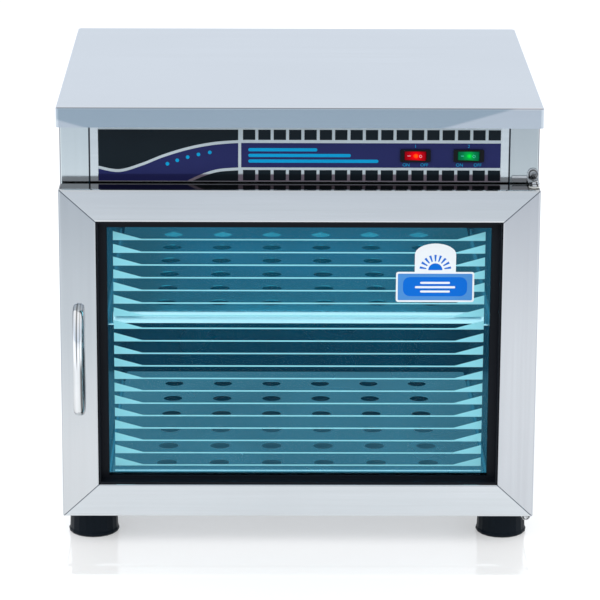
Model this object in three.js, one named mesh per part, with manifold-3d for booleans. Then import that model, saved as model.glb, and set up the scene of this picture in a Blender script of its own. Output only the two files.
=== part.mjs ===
// Countertop ultraviolet sterilizer cabinet in folded stainless sheet, with a glazed hinged door,
// two lift-out perforated shelves, a germicidal lamp under the chamber ceiling and two rocker switches.
// Millimetres, +Z up. Sizes below are measured from the door's front plane (y = 0) and the floor (z = 0).
import * as THREE from 'three';
import { mergeVertices } from 'three/addons/utils/BufferGeometryUtils.js';
import Module from 'manifold-3d';

const wasm = await Module();
wasm.setup();

// Common sheet, gaps and cutting overrun
const sheet = 1;
const bend = 1.5;
const seatGap = 0.3;
const overrun = 5;

// Overall cabinet
const width = 490;
const lidDepth = 406;
const height = 466;
const lidSetback = 1.5;
const lidSkirt = 20.9;
const lidSideGap = 0.5;
const lidCorner = 3;
const lidEdge = 2;
const footHeight = 30.7;
const doorThickness = 26;
const doorGap = 4;

// Door
const doorLift = 1.3;
const headerHeight = 84.6;
const stileWidth = 37.6;
const topRailWidth = 34;
const bottomRailWidth = 35.1;
const doorCorner = 2;
const mitreGap = 0.25;
const glassThickness = 4;
const glassSetback = 15;
const sideBorder = 9.9;
const topBorder = 8.9;
const bottomBorder = 4.6;
const gasketLip = 1.6;
const gasketLining = 1.4;
const gasketHold = 3;
const glassBevel = 0.4;
const sealWidth = 8;
const sealSideInset = 17.5;
const sealEndInset = 7;
const sealRound = 1;

// Handle
const handleReach = 28;
const handleInset = 19;
const handleTopDrop = 123.6;
const handleSpan = 111;
const handleEndWidth = 11;
const handleWaist = 9.4;
const handleSection = 7;
const handleShoulder = 15;
const handleScrewRadius = 1.8;
const handleScrewDepth = 7;
const handleScrewHead = 4;
const handleScrewHeadHeight = 2.4;

// Control header
const fasciaOverlap = 14.4;
const fasciaReturn = 14;
const postWidth = 29.6;
const seamGap = 0.8;
const overlaySideInset = 8.7;
const overlayTopRise = 61;
const overlayBottomRise = 1.8;
const overlayThickness = 0.4;
const overlayGlue = 0.05;
const overlayCorner = 1;
const switchWidth = 31;
const switchHeight = 13;
const switchLevel = 29.1;
const powerSwitchInset = 95.6;
const lampSwitchInset = 41.5;
const bezelThickness = 1.8;
const bezelCorner = 1.2;
const switchBodyDepth = 20;
const switchCutInset = 1.4;
const tabLength = 7;
const tabWidth = 4.8;
const tabThickness = 0.8;
const rockerLength = 22;
const rockerHeight = 8.6;
const rockerProud = 4.5;
const rockerDip = 3.2;
const rockerHeel = 3;
const rockerTilt = 8;
const rockerPivotDepth = 3;

// Chamber
const chamberInset = 44.5;
const backSpace = 20.7;
const linerFlange = 26;
const sillHeight = 23;
const panFlange = 12;
const sideRearFlange = 16;
const ceilingFlange = 12;
const ceilingOverlap = 12;

// Shelves and rails
const shelfSideGap = 5.5;
const shelfRearGap = 5;
const shelfFrontGap = 3.7;
const shelfLip = 12.4;
const shelfCorner = 2.5;
const shelfEdge = 1.4;
const upperShelfDrop = 122.3;
const lowerShelfRise = 40.4;
const holeRadius = 10.8;
const holePitch = 55;
const upperFirstRow = 34;
const lowerFirstRow = 24;
const railWidth = 12;
const railHeight = 10;
const railSheet = 1.2;
const railEndGap = 2;

// Lamp, its holders and reflector
const lampSetback = 176;
const lampDrop = 23.7;
const lampEndSpace = 34;
const lampRadius = 12.75;
const capRadius = 13;
const capLength = 12;
const pinSpacing = 12.7;
const pinRadius = 1.2;
const pinLength = 7;
const pinClearance = 0.8;
const holderThickness = 12;
const holderWidth = 27;
const holderDrop = 14;
const holderCorner = 6;
const reflectorSheet = 0.8;
const reflectorEndSpace = 12;
const reflectorFlat = 46;
const wingReach = 46;
const wingDrop = 16;

// Electrical gear on the chamber ceiling, placed by shares of the chamber's half width
const gearShares = { ballast: -0.351759, starter: 0.301508, terminal: 0.653266 };
const ballastLength = 150;
const ballastCore = 104;
const ballastWidth = 42;
const ballastHeight = 32;
const ballastBase = 1.6;
const ballastChamfer = 3;
const ballastSlotRadius = 2.2;
const ballastSlotInset = 9;
const gearSetback = 150;
const starterRadius = 10.75;
const starterHeight = 36;
const starterRim = 1.2;
const socketWidth = 30;
const socketHeight = 10;
const socketPocket = 6;
const terminalPitch = 10;
const terminalPoles = 4;
const terminalWall = 1.6;
const terminalDepth = 20;
const terminalBase = 7;
const terminalBarrier = 5;

// Door switch and magnet catch under the ceiling front
const doorSwitchInset = 69;
const doorSwitchWidth = 16;
const doorSwitchDepth = 24;
const doorSwitchHeight = 20;
const plungerRadius = 2.5;
const plungerLength = 14;
const plungerBoreClearance = 0.5;
const plungerBoreDepth = 16;
const plungerDome = 0.8;
const catchInset = 49;
const catchWidth = 46;
const catchDepth = 16;
const catchHeight = 13;
const catchRound = 2;
const poleWidth = 40;
const poleThickness = 1.6;
const poleSpacing = 5.5;
const poleProud = 2.6;

// Hinges
const pivotInset = 6;
const pivotRadius = 2;
const pivotClearance = 0.3;
const pivotReach = 12;
const pivotHeadRadius = 4.3;
const pivotHeadHeight = 2.8;
const bushWall = 1.2;
const bushFlangeRadius = 5.5;
const bushFlange = 1.6;
const bushDepth = 10;
const bushClearance = 0.4;
const bracketPlate = 1.8;
const bracketLegWidth = 11;
const bracketPlateWidth = 27;
const bracketPlateHeight = 6;
const bracketEarHeight = 14;
const bracketEarWidth = 11.6;
const bracketScrewRise = 7.8;
const bracketScrewRadius = 2;
const bracketScrewHead = 5;
const bracketScrewHeadHeight = 2.6;
const bracketScrewLength = 10;
const bracketSinkRadius = 4;
const bracketSinkDepth = 1.6;

// Feet and their bolts
const footInset = 29.2;
const footFrontSetback = 50;
const footRearSetback = 44;
const footTopRadius = 24.4;
const footBodyRadius = 25.3;
const footRimRadius = 26.4;
const footRimHeight = 4.6;
const footRimRound = 1.4;
const footRecessRadius = 9;
const footRecessDepth = 15;
const boltRadius = 3;
const boltClearance = 0.5;
const boltHeadRadius = 5.6;
const boltHeadHeight = 3.6;
const nutRadius = 5.7;
const nutHeight = 4.8;
const boltTail = 2;

// Back panel, vents and cord gland
const ventCount = 12;
const ventPitch = 14;
const ventWidth = 5;
const ventLength = 30;
const ventDrop = 54;
const glandInset = 73.5;
const glandDrop = 66;
const glandHoleRadius = 6.6;
const glandBodyRadius = 6.1;
const glandBoreRadius = 3.8;
const glandFlangeRadius = 9;
const glandFlange = 3;
const glandProud = 7;
const glandTail = 9;
const glandTipRadius = 6.4;

// Finishes
const mirrorSteel = { color: 0xc4ccd2, metalness: 0.9, roughness: 0.22 };
const satinSteel = { color: 0xb4bcc2, metalness: 0.85, roughness: 0.4 };
const chromePlate = { color: 0xdfe4e8, metalness: 1, roughness: 0.08 };
const zincPlate = { color: 0x9aa0a4, metalness: 0.8, roughness: 0.45 };
const blackRubber = { color: 0x14181e, metalness: 0, roughness: 0.75 };
const blackPlastic = { color: 0x101214, metalness: 0, roughness: 0.45 };
const whitePlastic = { color: 0xe8e8e4, metalness: 0, roughness: 0.5 };
const tintedGlass = { color: 0x1a4f68, metalness: 0, roughness: 0.05, transparent: true, opacity: 0.45 };
const lampGlass = { color: 0xcfeaf4, metalness: 0, roughness: 0.1 };
const indigoFilm = { color: 0x2b2f66, metalness: 0, roughness: 0.35 };
const redRocker = { color: 0xd01820, metalness: 0, roughness: 0.3 };
const greenRocker = { color: 0x0c9a44, metalness: 0, roughness: 0.3 };

// Sizes that follow from the ones above
const half = sheet / 2;
const bodyHalf = width / 2 - sheet - lidSideGap;
const bodyFront = doorThickness + doorGap;
const lidBack = lidSetback + lidDepth;
const bodyBack = lidBack - sheet - lidSideGap;
const bodyBottom = footHeight + seatGap;
const panelTop = height - sheet - lidEdge - seatGap;
const postEdge = bodyHalf - postWidth;
const fasciaHalf = postEdge - seamGap;
const doorHalf = bodyHalf;
const doorBottom = bodyBottom + doorLift;
const doorTop = height - headerHeight;
const railDepth = doorThickness - sheet - seatGap;
const openingHalf = doorHalf - stileWidth;
const openingTop = doorTop - topRailWidth;
const openingBottom = doorBottom + bottomRailWidth;
const fasciaBottom = doorTop - fasciaOverlap;
const ceilingTop = fasciaBottom - seatGap;
const ceilingUnder = ceilingTop - sheet;
const linerFront = bodyFront + sheet + seatGap;
const linerBottom = bodyBottom + sheet + bend + seatGap;
const linerTop = ceilingUnder - seatGap;
const backLinerFront = bodyBack - backSpace;
const linerRear = backLinerFront - seatGap;
const chamberHalf = bodyHalf - chamberInset;
const ceilingHalf = chamberHalf + ceilingOverlap;
const switchZ = doorTop + switchLevel;
const bezelBack = bodyFront - overlayGlue - overlayThickness - seatGap;
const bezelFront = bezelBack - bezelThickness;
const gearBase = ceilingTop + seatGap;
const pivotX = doorHalf - pivotInset;
const pivotY = doorThickness / 2;
const shelfHalf = chamberHalf - shelfSideGap;
const shelfFront = linerFront + sheet + shelfFrontGap;
const shelfDepth = linerRear - shelfRearGap - shelfFront;
const lampHalf = chamberHalf - lampEndSpace;
const lampY = bodyFront + lampSetback;
const lampZ = ceilingUnder - lampDrop;
const handleX = handleInset - doorHalf;

// Outlines: arcs, circles, rounded rectangles and folded strips
function arcPoints(x, y, radius, from, to, steps) {
  return Array.from({ length: steps + 1 }, (_, i) => {
    const angle = from + ((to - from) * i) / steps;
    return new THREE.Vector2(x + radius * Math.cos(angle), y + radius * Math.sin(angle));
  });
}

function circle(x, y, radius, sides) {
  return arcPoints(x, y, radius, 0, 2 * Math.PI, sides).slice(0, sides);
}

function roundedRectangle(left, right, low, high, radius, steps = 2) {
  const quarter = Math.PI / 2;
  return [
    ...arcPoints(right - radius, low + radius, radius, -quarter, 0, steps),
    ...arcPoints(right - radius, high - radius, radius, 0, quarter, steps),
    ...arcPoints(left + radius, high - radius, radius, quarter, 2 * quarter, steps),
    ...arcPoints(left + radius, low + radius, radius, 2 * quarter, 3 * quarter, steps),
  ];
}

function rectangle(left, right, low, high) {
  return [[left, low], [right, low], [right, high], [left, high]].map(([x, y]) => new THREE.Vector2(x, y));
}

// A folded strip's outline: the middle line through the given corners, bent to a radius, given a thickness
function foldedStrip(corners, thickness = sheet, radius = bend, steps = 2) {
  const points = corners.map(([x, y]) => new THREE.Vector2(x, y));
  const directions = points.slice(1).map((point, i) => point.clone().sub(points[i]).normalize());
  const sideOf = (direction) => new THREE.Vector2(-direction.y, direction.x);
  const line = [{ point: points[0], side: sideOf(directions[0]) }];
  for (let i = 1; i < directions.length; i += 1) {
    const turn = Math.atan2(directions[i - 1].cross(directions[i]), directions[i - 1].dot(directions[i]));
    const hand = Math.sign(turn);
    const start = points[i].clone().addScaledVector(directions[i - 1], -radius * Math.tan(Math.abs(turn) / 2));
    const centre = start.clone().addScaledVector(sideOf(directions[i - 1]), hand * radius);
    for (let k = 0; k <= steps; k += 1) {
      const side = sideOf(directions[i - 1]).rotateAround(new THREE.Vector2(), (turn * k) / steps);
      line.push({ point: centre.clone().addScaledVector(side, -hand * radius), side });
    }
  }
  line.push({ point: points.at(-1), side: sideOf(directions.at(-1)) });
  const offset = (distance) => line.map(({ point, side }) => point.clone().addScaledVector(side, distance));
  return [...offset(thickness / 2), ...offset(-thickness / 2).reverse()];
}

function shapeOf(outline, holes = []) {
  const shape = new THREE.Shape(outline);
  shape.holes = holes.map((hole) => new THREE.Path(hole));
  return shape;
}

// Extrusions: an (x, y) outline along z, a (y, z) outline along x, an (x, z) outline along y
function alongZ(outline, from, to, holes) {
  const shape = shapeOf(outline, holes);
  return new THREE.ExtrudeGeometry(shape, { depth: to - from, bevelEnabled: false }).translate(0, 0, from);
}

function alongX(outline, from, to, holes) {
  const turned = new THREE.Matrix4().set(0, 0, 1, 0, 1, 0, 0, 0, 0, 1, 0, 0, 0, 0, 0, 1);
  return alongZ(outline, 0, to - from, holes).applyMatrix4(turned).translate(from, 0, 0);
}

function alongY(outline, from, to, holes) {
  return alongZ(outline, 0, to - from, holes).rotateX(Math.PI / 2).translate(0, to, 0);
}

// An (x, y) outline along z with its upper and lower edges rounded inside the outline
function softBlock(outline, from, to, edge, holes, steps = 2) {
  const options = {
    depth: to - from - 2 * edge,
    bevelSize: edge,
    bevelOffset: -edge,
    bevelThickness: edge,
    bevelSegments: steps,
  };
  return new THREE.ExtrudeGeometry(shapeOf(outline, holes), options).translate(0, 0, from + edge);
}

// A profile of (radius, height) pairs turned about the z axis, listed upwards on its outside
function turned(profile, sides) {
  const points = profile.map(([radius, level]) => new THREE.Vector2(radius, level));
  return new THREE.LatheGeometry(points, sides).rotateX(Math.PI / 2);
}

// One welded skin without collapsed triangles
function welded(geometry) {
  const bare = geometry.clone();
  bare.deleteAttribute('normal');
  bare.deleteAttribute('uv');
  const merged = mergeVertices(bare);
  const kept = [];
  for (let i = 0; i < merged.index.count; i += 3) {
    const [a, b, c] = [0, 1, 2].map((k) => merged.index.getX(i + k));
    if (a !== b && b !== c && c !== a) kept.push(a, b, c);
  }
  merged.setIndex(kept);
  return merged;
}

function solid(geometry) {
  const skin = welded(geometry);
  return new wasm.Manifold(new wasm.Mesh({
    numProp: 3,
    vertProperties: Float32Array.from(skin.attributes.position.array),
    triVerts: Uint32Array.from(skin.index.array),
  }));
}

function geometryOf(body) {
  const mesh = body.getMesh();
  const geometry = new THREE.BufferGeometry();
  geometry.setAttribute('position', new THREE.BufferAttribute(mesh.vertProperties, 3));
  geometry.setIndex(new THREE.BufferAttribute(mesh.triVerts, 1));
  return geometry;
}

function joined(...geometries) {
  return geometries.map(solid).reduce((all, next) => all.add(next));
}

function cut(body, ...geometries) {
  return geometries.map(solid).reduce((rest, tool) => rest.subtract(tool), body);
}

function piece(group, name, shape, finish) {
  const geometry = shape instanceof THREE.BufferGeometry ? welded(shape) : geometryOf(shape);
  geometry.computeVertexNormals();
  const mesh = new THREE.Mesh(geometry, new THREE.MeshStandardMaterial(finish));
  mesh.name = name;
  group.add(mesh);
  return mesh;
}

// A drawn sheet pan, open below, its top at z = 0 and its front edge at y = 0
function sheetPan(panWidth, panDepth, panHeight, corner, edge) {
  const side = panWidth / 2;
  const inner = side - sheet;
  const outerForm = softBlock(roundedRectangle(-side, side, 0, panDepth, corner), -panHeight - overrun, 0, edge);
  const innerForm = softBlock(
    roundedRectangle(-inner, inner, sheet, panDepth - sheet, corner - sheet),
    -panHeight - 2 * overrun,
    -sheet,
    edge - half,
  );
  const below = alongZ(
    rectangle(-side - overrun, side + overrun, -overrun, panDepth + overrun),
    -panHeight - 2 * overrun,
    -panHeight,
  );
  return cut(solid(outerForm), innerForm, below);
}

// A round-headed screw: head above z = 0, shank below it
function screw(headRadius, headHeight, shankRadius, shankLength) {
  const dome = arcPoints(0, 0, 1, 0, Math.PI / 2, 3).map((p) => [headRadius * p.x, headHeight * p.y]);
  return turned([[0, -shankLength], [shankRadius, -shankLength], [shankRadius, 0], ...dome], 12);
}

// A countersunk screw: its flush face at z = 0, cone and shank below it
function sunkScrew(headRadius, coneDepth, shankRadius, shankLength, slack = 0) {
  return turned([
    [0, -shankLength],
    [shankRadius + slack, -shankLength],
    [shankRadius + slack, -coneDepth],
    [headRadius + slack, 0],
    [0, 0],
  ], 12);
}

// Lid: a pan over the whole top, with a return flange that closes its front overhang
function addLid(group) {
  const pan = sheetPan(width, lidDepth, lidSkirt, lidCorner, lidEdge).translate([0, lidSetback, height]);
  const skirtBottom = height - lidSkirt;
  const inside = width / 2 - sheet - lidSideGap;
  const flangeBack = bodyFront - seamGap;
  const flange = alongZ(
    rectangle(-inside, inside, lidSetback + half, flangeBack),
    skirtBottom,
    skirtBottom + sheet,
  );
  const sideLinks = [-1, 1].map((hand) => alongZ(
    rectangle(hand * inside - lidSideGap - half, hand * inside + lidSideGap + half, lidSetback + lidCorner, flangeBack),
    skirtBottom,
    skirtBottom + sheet,
  ));
  piece(group, 'top_lid', pan.add(joined(flange, ...sideLinks)), mirrorSteel);
}

// Side panel: skin with the front post and a rear flange folded from the same sheet
function addSidePanel(group, name, hand) {
  const skin = hand * (bodyHalf - half);
  const rear = bodyBack - sheet - seatGap - half;
  const fold = foldedStrip([
    [hand * (bodyHalf - sideRearFlange), rear],
    [skin, rear],
    [skin, bodyFront + half],
    [hand * postEdge, bodyFront + half],
  ]);
  let panel = solid(alongZ(fold, bodyBottom, panelTop));
  if (hand > 0) {
    const screwHole = circle(pivotX, bracketScrewZ(1), bracketScrewRadius + pivotClearance, 12);
    const lowerHole = circle(pivotX, bracketScrewZ(-1), bracketScrewRadius + pivotClearance, 12);
    const through = [bodyFront - overrun, bodyFront + overrun];
    panel = cut(panel, alongY(screwHole, ...through), alongY(lowerHole, ...through));
  }
  piece(group, name, panel, mirrorSteel);
}

// Bottom pan: a sill folded up between the posts, with low flanges inside the other three sides
function addBottomPanel(group) {
  const base = bodyBottom + half;
  const rear = bodyBack - sheet - seatGap - half;
  const side = bodyHalf - sheet - seatGap - half;
  const sill = foldedStrip([
    [bodyFront + half, bodyBottom + sillHeight],
    [bodyFront + half, base],
    [rear, base],
    [rear, bodyBottom + panFlange],
  ]);
  const wings = foldedStrip([
    [-side, bodyBottom + panFlange],
    [-side, base],
    [side, base],
    [side, bodyBottom + panFlange],
  ]);
  const holes = footPlaces().map(([, x, y]) => circle(x, y, boltRadius + boltClearance, 12));
  const pan = joined(alongX(sill, -fasciaHalf, fasciaHalf), alongY(wings, linerFront, rear - half - seatGap));
  const drilled = cut(pan, ...holes.map((hole) => alongZ(hole, bodyBottom - overrun, bodyBottom + overrun)));
  piece(group, 'bottom_panel', drilled, satinSteel);
}

// Back panel with a row of vents behind the header and the cord's hole
function addBackPanel(group) {
  const side = bodyHalf - sheet - seatGap;
  const vents = Array.from({ length: ventCount }, (_, i) => {
    const x = (i - (ventCount - 1) / 2) * ventPitch - ventPitch * 2;
    const low = height - ventDrop - ventLength / 2;
    return roundedRectangle(x - ventWidth / 2, x + ventWidth / 2, low, low + ventLength, ventWidth / 2, 3);
  });
  const cordHole = circle(bodyHalf - glandInset, height - glandDrop, glandHoleRadius, 16);
  const plate = alongY(rectangle(-side, side, bodyBottom, panelTop), bodyBack - sheet, bodyBack, [...vents, cordHole]);
  piece(group, 'back_panel', plate, satinSteel);
}

// Cord gland: a flanged bush snapped into the back panel, its bore left open
function addGland(group) {
  const profile = [
    [glandBoreRadius, -glandTail],
    [glandBodyRadius - half, -glandTail],
    [glandTipRadius - half, -sheet - seatGap],
    [glandBodyRadius, -sheet],
    [glandBodyRadius, seatGap],
    [glandFlangeRadius, seatGap],
    [glandFlangeRadius - half, seatGap + glandFlange],
    [glandBodyRadius, glandProud],
    [glandBoreRadius, glandProud],
    [glandBoreRadius, -glandTail],
  ];
  const gland = piece(group, 'cord_gland', turned(profile, 16), blackRubber);
  gland.rotation.x = -Math.PI / 2;
  gland.position.set(bodyHalf - glandInset, bodyBack, height - glandDrop);
}

// Fascia: a channel between the posts, cut for the two switches
function addFascia(group) {
  const channel = foldedStrip([
    [bodyFront + fasciaReturn, fasciaBottom + half],
    [bodyFront + half, fasciaBottom + half],
    [bodyFront + half, panelTop - half],
    [bodyFront + fasciaReturn, panelTop - half],
  ]);
  const windows = switchPlaces().map(([, , x]) => alongY(switchWindow(x), bodyFront - overrun, bodyFront + overrun));
  piece(group, 'control_fascia', cut(solid(alongX(channel, -fasciaHalf, fasciaHalf)), ...windows), mirrorSteel);
  const side = fasciaHalf - overlaySideInset;
  const film = alongY(
    roundedRectangle(-side, side, doorTop + overlayBottomRise, doorTop + overlayTopRise, overlayCorner),
    bodyFront - overlayGlue - overlayThickness,
    bodyFront - overlayGlue,
  );
  piece(group, 'fascia_overlay', cut(solid(film), ...windows), indigoFilm);
}

function switchPlaces() {
  return [
    ['power', redRocker, fasciaHalf - powerSwitchInset],
    ['lamp', greenRocker, fasciaHalf - lampSwitchInset],
  ];
}

function switchWindow(x) {
  const side = switchWidth / 2 - switchCutInset;
  const rise = switchHeight / 2 - switchCutInset;
  return rectangle(x - side, x + side, switchZ - rise, switchZ + rise);
}

// Switch: a bezelled snap-in body with three blade tabs, and the rocker that tilts in it about z
function addSwitch(bodyGroup, rockerGroup, [name, finish, x]) {
  const side = switchWidth / 2;
  const rise = switchHeight / 2;
  const neckSide = side - switchCutInset - seatGap;
  const neckRise = rise - switchCutInset - seatGap;
  const bodyBackY = bezelBack + switchBodyDepth;
  const bezel = alongY(roundedRectangle(-side, side, -rise, rise, bezelCorner), bezelFront, bezelBack);
  const neck = alongY(rectangle(-neckSide, neckSide, -neckRise, neckRise), bezelBack - half, bodyBackY);
  const tabs = [-1, 0, 1].map((step) => {
    const middle = step * (neckSide - tabWidth / 2 - half);
    return alongY(
      rectangle(middle - tabWidth / 2, middle + tabWidth / 2, -tabThickness / 2, tabThickness / 2),
      bodyBackY - half,
      bodyBackY + tabLength,
    );
  });
  const wellSide = rockerLength / 2 + seatGap;
  const wellRise = rockerHeight / 2 + seatGap;
  const wellDepth = rockerPivotDepth + rockerHeel + rockerLength / 8;
  const well = alongY(
    rectangle(-wellSide, wellSide, -wellRise, wellRise),
    bezelFront - overrun,
    bezelFront + wellDepth,
  );
  const housing = piece(bodyGroup, `${name}_switch_body`, cut(joined(bezel, neck, ...tabs), well), blackPlastic);
  housing.position.set(x, 0, switchZ);

  const reach = rockerLength / 2;
  const tip = Math.asin(rockerProud / reach);
  const heel = Math.asin(rockerHeel / reach);
  const outline = [
    new THREE.Vector2(0, -rockerDip),
    ...arcPoints(0, 0, reach, Math.PI + tip, Math.PI - heel, 3),
    ...arcPoints(0, 0, reach, heel, -tip, 3),
  ];
  const rocker = piece(rockerGroup, `${name}_rocker`, alongZ(outline, -rockerHeight / 2, rockerHeight / 2), finish);
  rocker.rotation.z = THREE.MathUtils.degToRad(-rockerTilt);
  rocker.position.set(x, bezelFront + rockerPivotDepth, switchZ);
}

// Chamber: side liners folded behind the posts, a back liner and a ceiling tray resting on them
function addChamber(group) {
  for (const [name, hand] of [['left_liner', -1], ['right_liner', 1]]) {
    const wall = hand * (chamberHalf + half);
    const fold = foldedStrip([
      [hand * (chamberHalf + linerFlange), linerFront + half],
      [wall, linerFront + half],
      [wall, linerRear],
    ]);
    piece(group, name, alongZ(fold, linerBottom, linerTop), mirrorSteel);
  }
  const backPlate = alongY(
    rectangle(-ceilingHalf, ceilingHalf, linerBottom, linerTop),
    backLinerFront,
    backLinerFront + sheet,
  );
  piece(group, 'back_liner', backPlate, mirrorSteel);
  const side = ceilingHalf - half;
  const tray = foldedStrip([
    [-side, ceilingTop + ceilingFlange],
    [-side, ceilingUnder + half],
    [side, ceilingUnder + half],
    [side, ceilingTop + ceilingFlange],
  ]);
  const notch = alongZ(
    rectangle(-bodyHalf, bodyHalf, linerFront - overrun, bodyFront + fasciaReturn + seatGap),
    ceilingTop,
    ceilingTop + ceilingFlange + overrun,
  );
  const ceiling = cut(solid(alongY(tray, linerFront, backLinerFront + sheet)), notch);
  piece(group, 'chamber_ceiling', ceiling, mirrorSteel);
}

// Shelf: a shallow inverted tray with a grid of drain holes, lifted out by hand
function addShelf(group, name, level, firstRow) {
  const rows = Math.floor((shelfDepth - firstRow - holeRadius) / holePitch) + 1;
  const columns = Math.floor((2 * shelfHalf - 2 * holeRadius) / holePitch);
  const holes = [];
  for (let row = 0; row < rows; row += 1) {
    for (let column = 0; column < columns; column += 1) {
      const x = (column - (columns - 1) / 2) * holePitch;
      holes.push(shapeOf(circle(x, firstRow + row * holePitch, holeRadius, 14)));
    }
  }
  const drill = new THREE.ExtrudeGeometry(holes, { depth: 2 * overrun, bevelEnabled: false });
  const tray = cut(sheetPan(2 * shelfHalf, shelfDepth, shelfLip, shelfCorner, shelfEdge), drill.translate(0, 0, -overrun));
  piece(group, name, tray, mirrorSteel).position.set(0, shelfFront, level);
}

// Rails: angles on the liner walls that carry the shelf lips
function addRail(group, name, hand, level) {
  const wall = hand * (chamberHalf - seatGap - railSheet / 2);
  const legZ = level - shelfLip - seatGap - railSheet / 2;
  const angle = foldedStrip([
    [wall, legZ + railHeight],
    [wall, legZ],
    [hand * (chamberHalf - seatGap - railWidth), legZ],
  ], railSheet);
  piece(group, name, alongY(angle, linerFront + sheet + railEndGap, linerRear - railEndGap), satinSteel);
}

// Reflector, the two lamp holders and the two-pin tube that turns a quarter in them
function addLampGear(group, lampGroup) {
  const flatZ = ceilingUnder - seatGap - reflectorSheet / 2;
  const reflector = foldedStrip([
    [lampY - wingReach, flatZ - wingDrop],
    [lampY - reflectorFlat / 2, flatZ],
    [lampY + reflectorFlat / 2, flatZ],
    [lampY + wingReach, flatZ - wingDrop],
  ], reflectorSheet);
  const wingHalf = chamberHalf - reflectorEndSpace;
  piece(group, 'lamp_reflector', alongX(reflector, -wingHalf, wingHalf), mirrorSteel);

  const holderTop = flatZ - reflectorSheet / 2 - seatGap;
  const pocketRadius = pinSpacing / 2 + pinRadius + pinClearance;
  const slotHalf = pinRadius + pinClearance;
  for (const [name, hand] of [['left_lamp_holder', -1], ['right_lamp_holder', 1]]) {
    const face = hand * (lampHalf + seatGap);
    const rear = face + hand * holderThickness;
    const pocketEnd = face + hand * (pinLength + seatGap);
    const [low, high] = [Math.min(face, rear), Math.max(face, rear)];
    const pocketSpan = [Math.min(face - hand * overrun, pocketEnd), Math.max(face - hand * overrun, pocketEnd)];
    const block = alongX(
      roundedRectangle(lampY - holderWidth / 2, lampY + holderWidth / 2, lampZ - holderDrop, holderTop, holderCorner),
      low,
      high,
    );
    const pocket = alongX(circle(lampY, lampZ, pocketRadius, 16), ...pocketSpan);
    const slot = alongX(
      rectangle(lampY - slotHalf, lampY + slotHalf, lampZ - holderDrop - overrun, lampZ),
      ...pocketSpan,
    );
    piece(group, name, cut(solid(block), pocket, slot), whitePlastic);
  }

  const end = lampHalf;
  const neck = end - capLength;
  const tube = turned([
    [0, -end],
    [capRadius - half, -end],
    [capRadius, half - end],
    [capRadius, -neck],
    [lampRadius, -neck],
    [lampRadius, neck],
    [capRadius, neck],
    [capRadius, end - half],
    [capRadius - half, end],
    [0, end],
  ], 20);
  const pins = [-1, 1].flatMap((tip) => [-1, 1].map((side) => {
    const pin = circle(0, (side * pinSpacing) / 2, pinRadius, 8);
    return alongZ(pin, tip > 0 ? end - half : -end - pinLength, tip > 0 ? end + pinLength : half - end);
  }));
  const lamp = piece(lampGroup, 'uv_lamp', joined(tube, ...pins), lampGlass);
  lamp.rotation.y = Math.PI / 2;
  lamp.position.set(0, lampY, lampZ);
}

// Ballast, starter in its socket and terminal strip, standing on the chamber ceiling
function addElectrics(group) {
  const gearY = bodyFront + gearSetback;
  const core = ballastCore / 2;
  const foot = ballastLength / 2;
  const stack = alongY(
    [
      [-foot, 0],
      [foot, 0],
      [foot, ballastBase],
      [core, ballastBase],
      [core, ballastHeight - ballastChamfer],
      [core - ballastChamfer, ballastHeight],
      [ballastChamfer - core, ballastHeight],
      [-core, ballastHeight - ballastChamfer],
      [-core, ballastBase],
      [-foot, ballastBase],
    ].map(([x, z]) => new THREE.Vector2(x, z)),
    -ballastWidth / 2,
    ballastWidth / 2,
  );
  const slots = [-1, 1].map((hand) => {
    const slot = circle(hand * (foot - ballastSlotInset), 0, ballastSlotRadius, 10);
    return alongZ(slot, -overrun, overrun);
  });
  piece(group, 'ballast', cut(solid(stack), ...slots), zincPlate)
    .position.set(gearShares.ballast * chamberHalf, gearY, gearBase);

  const socketSide = socketWidth / 2;
  const socketBlock = softBlock(
    roundedRectangle(-socketSide, socketSide, -socketSide, socketSide, socketSide / 3),
    0,
    socketHeight,
    half,
  );
  const well = alongZ(circle(0, 0, starterRadius + seatGap, 20), socketHeight - socketPocket, socketHeight + overrun);
  const socket = piece(group, 'starter_socket', cut(solid(socketBlock), well), whitePlastic);
  const starterX = gearShares.starter * chamberHalf;
  socket.position.set(starterX, gearY, gearBase);
  const can = turned([
    [0, 0],
    [starterRadius - starterRim, 0],
    [starterRadius - starterRim, starterRim],
    [starterRadius, 2 * starterRim],
    [starterRadius, starterHeight - 2 * starterRim],
    [starterRadius - starterRim, starterHeight - starterRim],
    [starterRadius / 2, starterHeight],
    [0, starterHeight],
  ], 18);
  const starter = piece(group, 'starter', can, whitePlastic);
  starter.position.set(starterX, gearY, gearBase + socketHeight - socketPocket + seatGap);

  const length = terminalPoles * terminalPitch + terminalWall;
  const comb = [new THREE.Vector2(0, 0), new THREE.Vector2(length, 0)];
  for (let pole = terminalPoles; pole >= 0; pole -= 1) {
    const right = pole * terminalPitch + terminalWall;
    const left = pole * terminalPitch;
    comb.push(new THREE.Vector2(right, terminalBase + terminalBarrier));
    comb.push(new THREE.Vector2(left, terminalBase + terminalBarrier));
    if (pole > 0) {
      comb.push(new THREE.Vector2(left, terminalBase));
      comb.push(new THREE.Vector2(left - terminalPitch + terminalWall, terminalBase));
    }
  }
  const strip = piece(group, 'terminal_block', alongY(comb, -terminalDepth / 2, terminalDepth / 2), blackPlastic);
  strip.position.set(gearShares.terminal * chamberHalf, gearY, gearBase);
}

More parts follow.
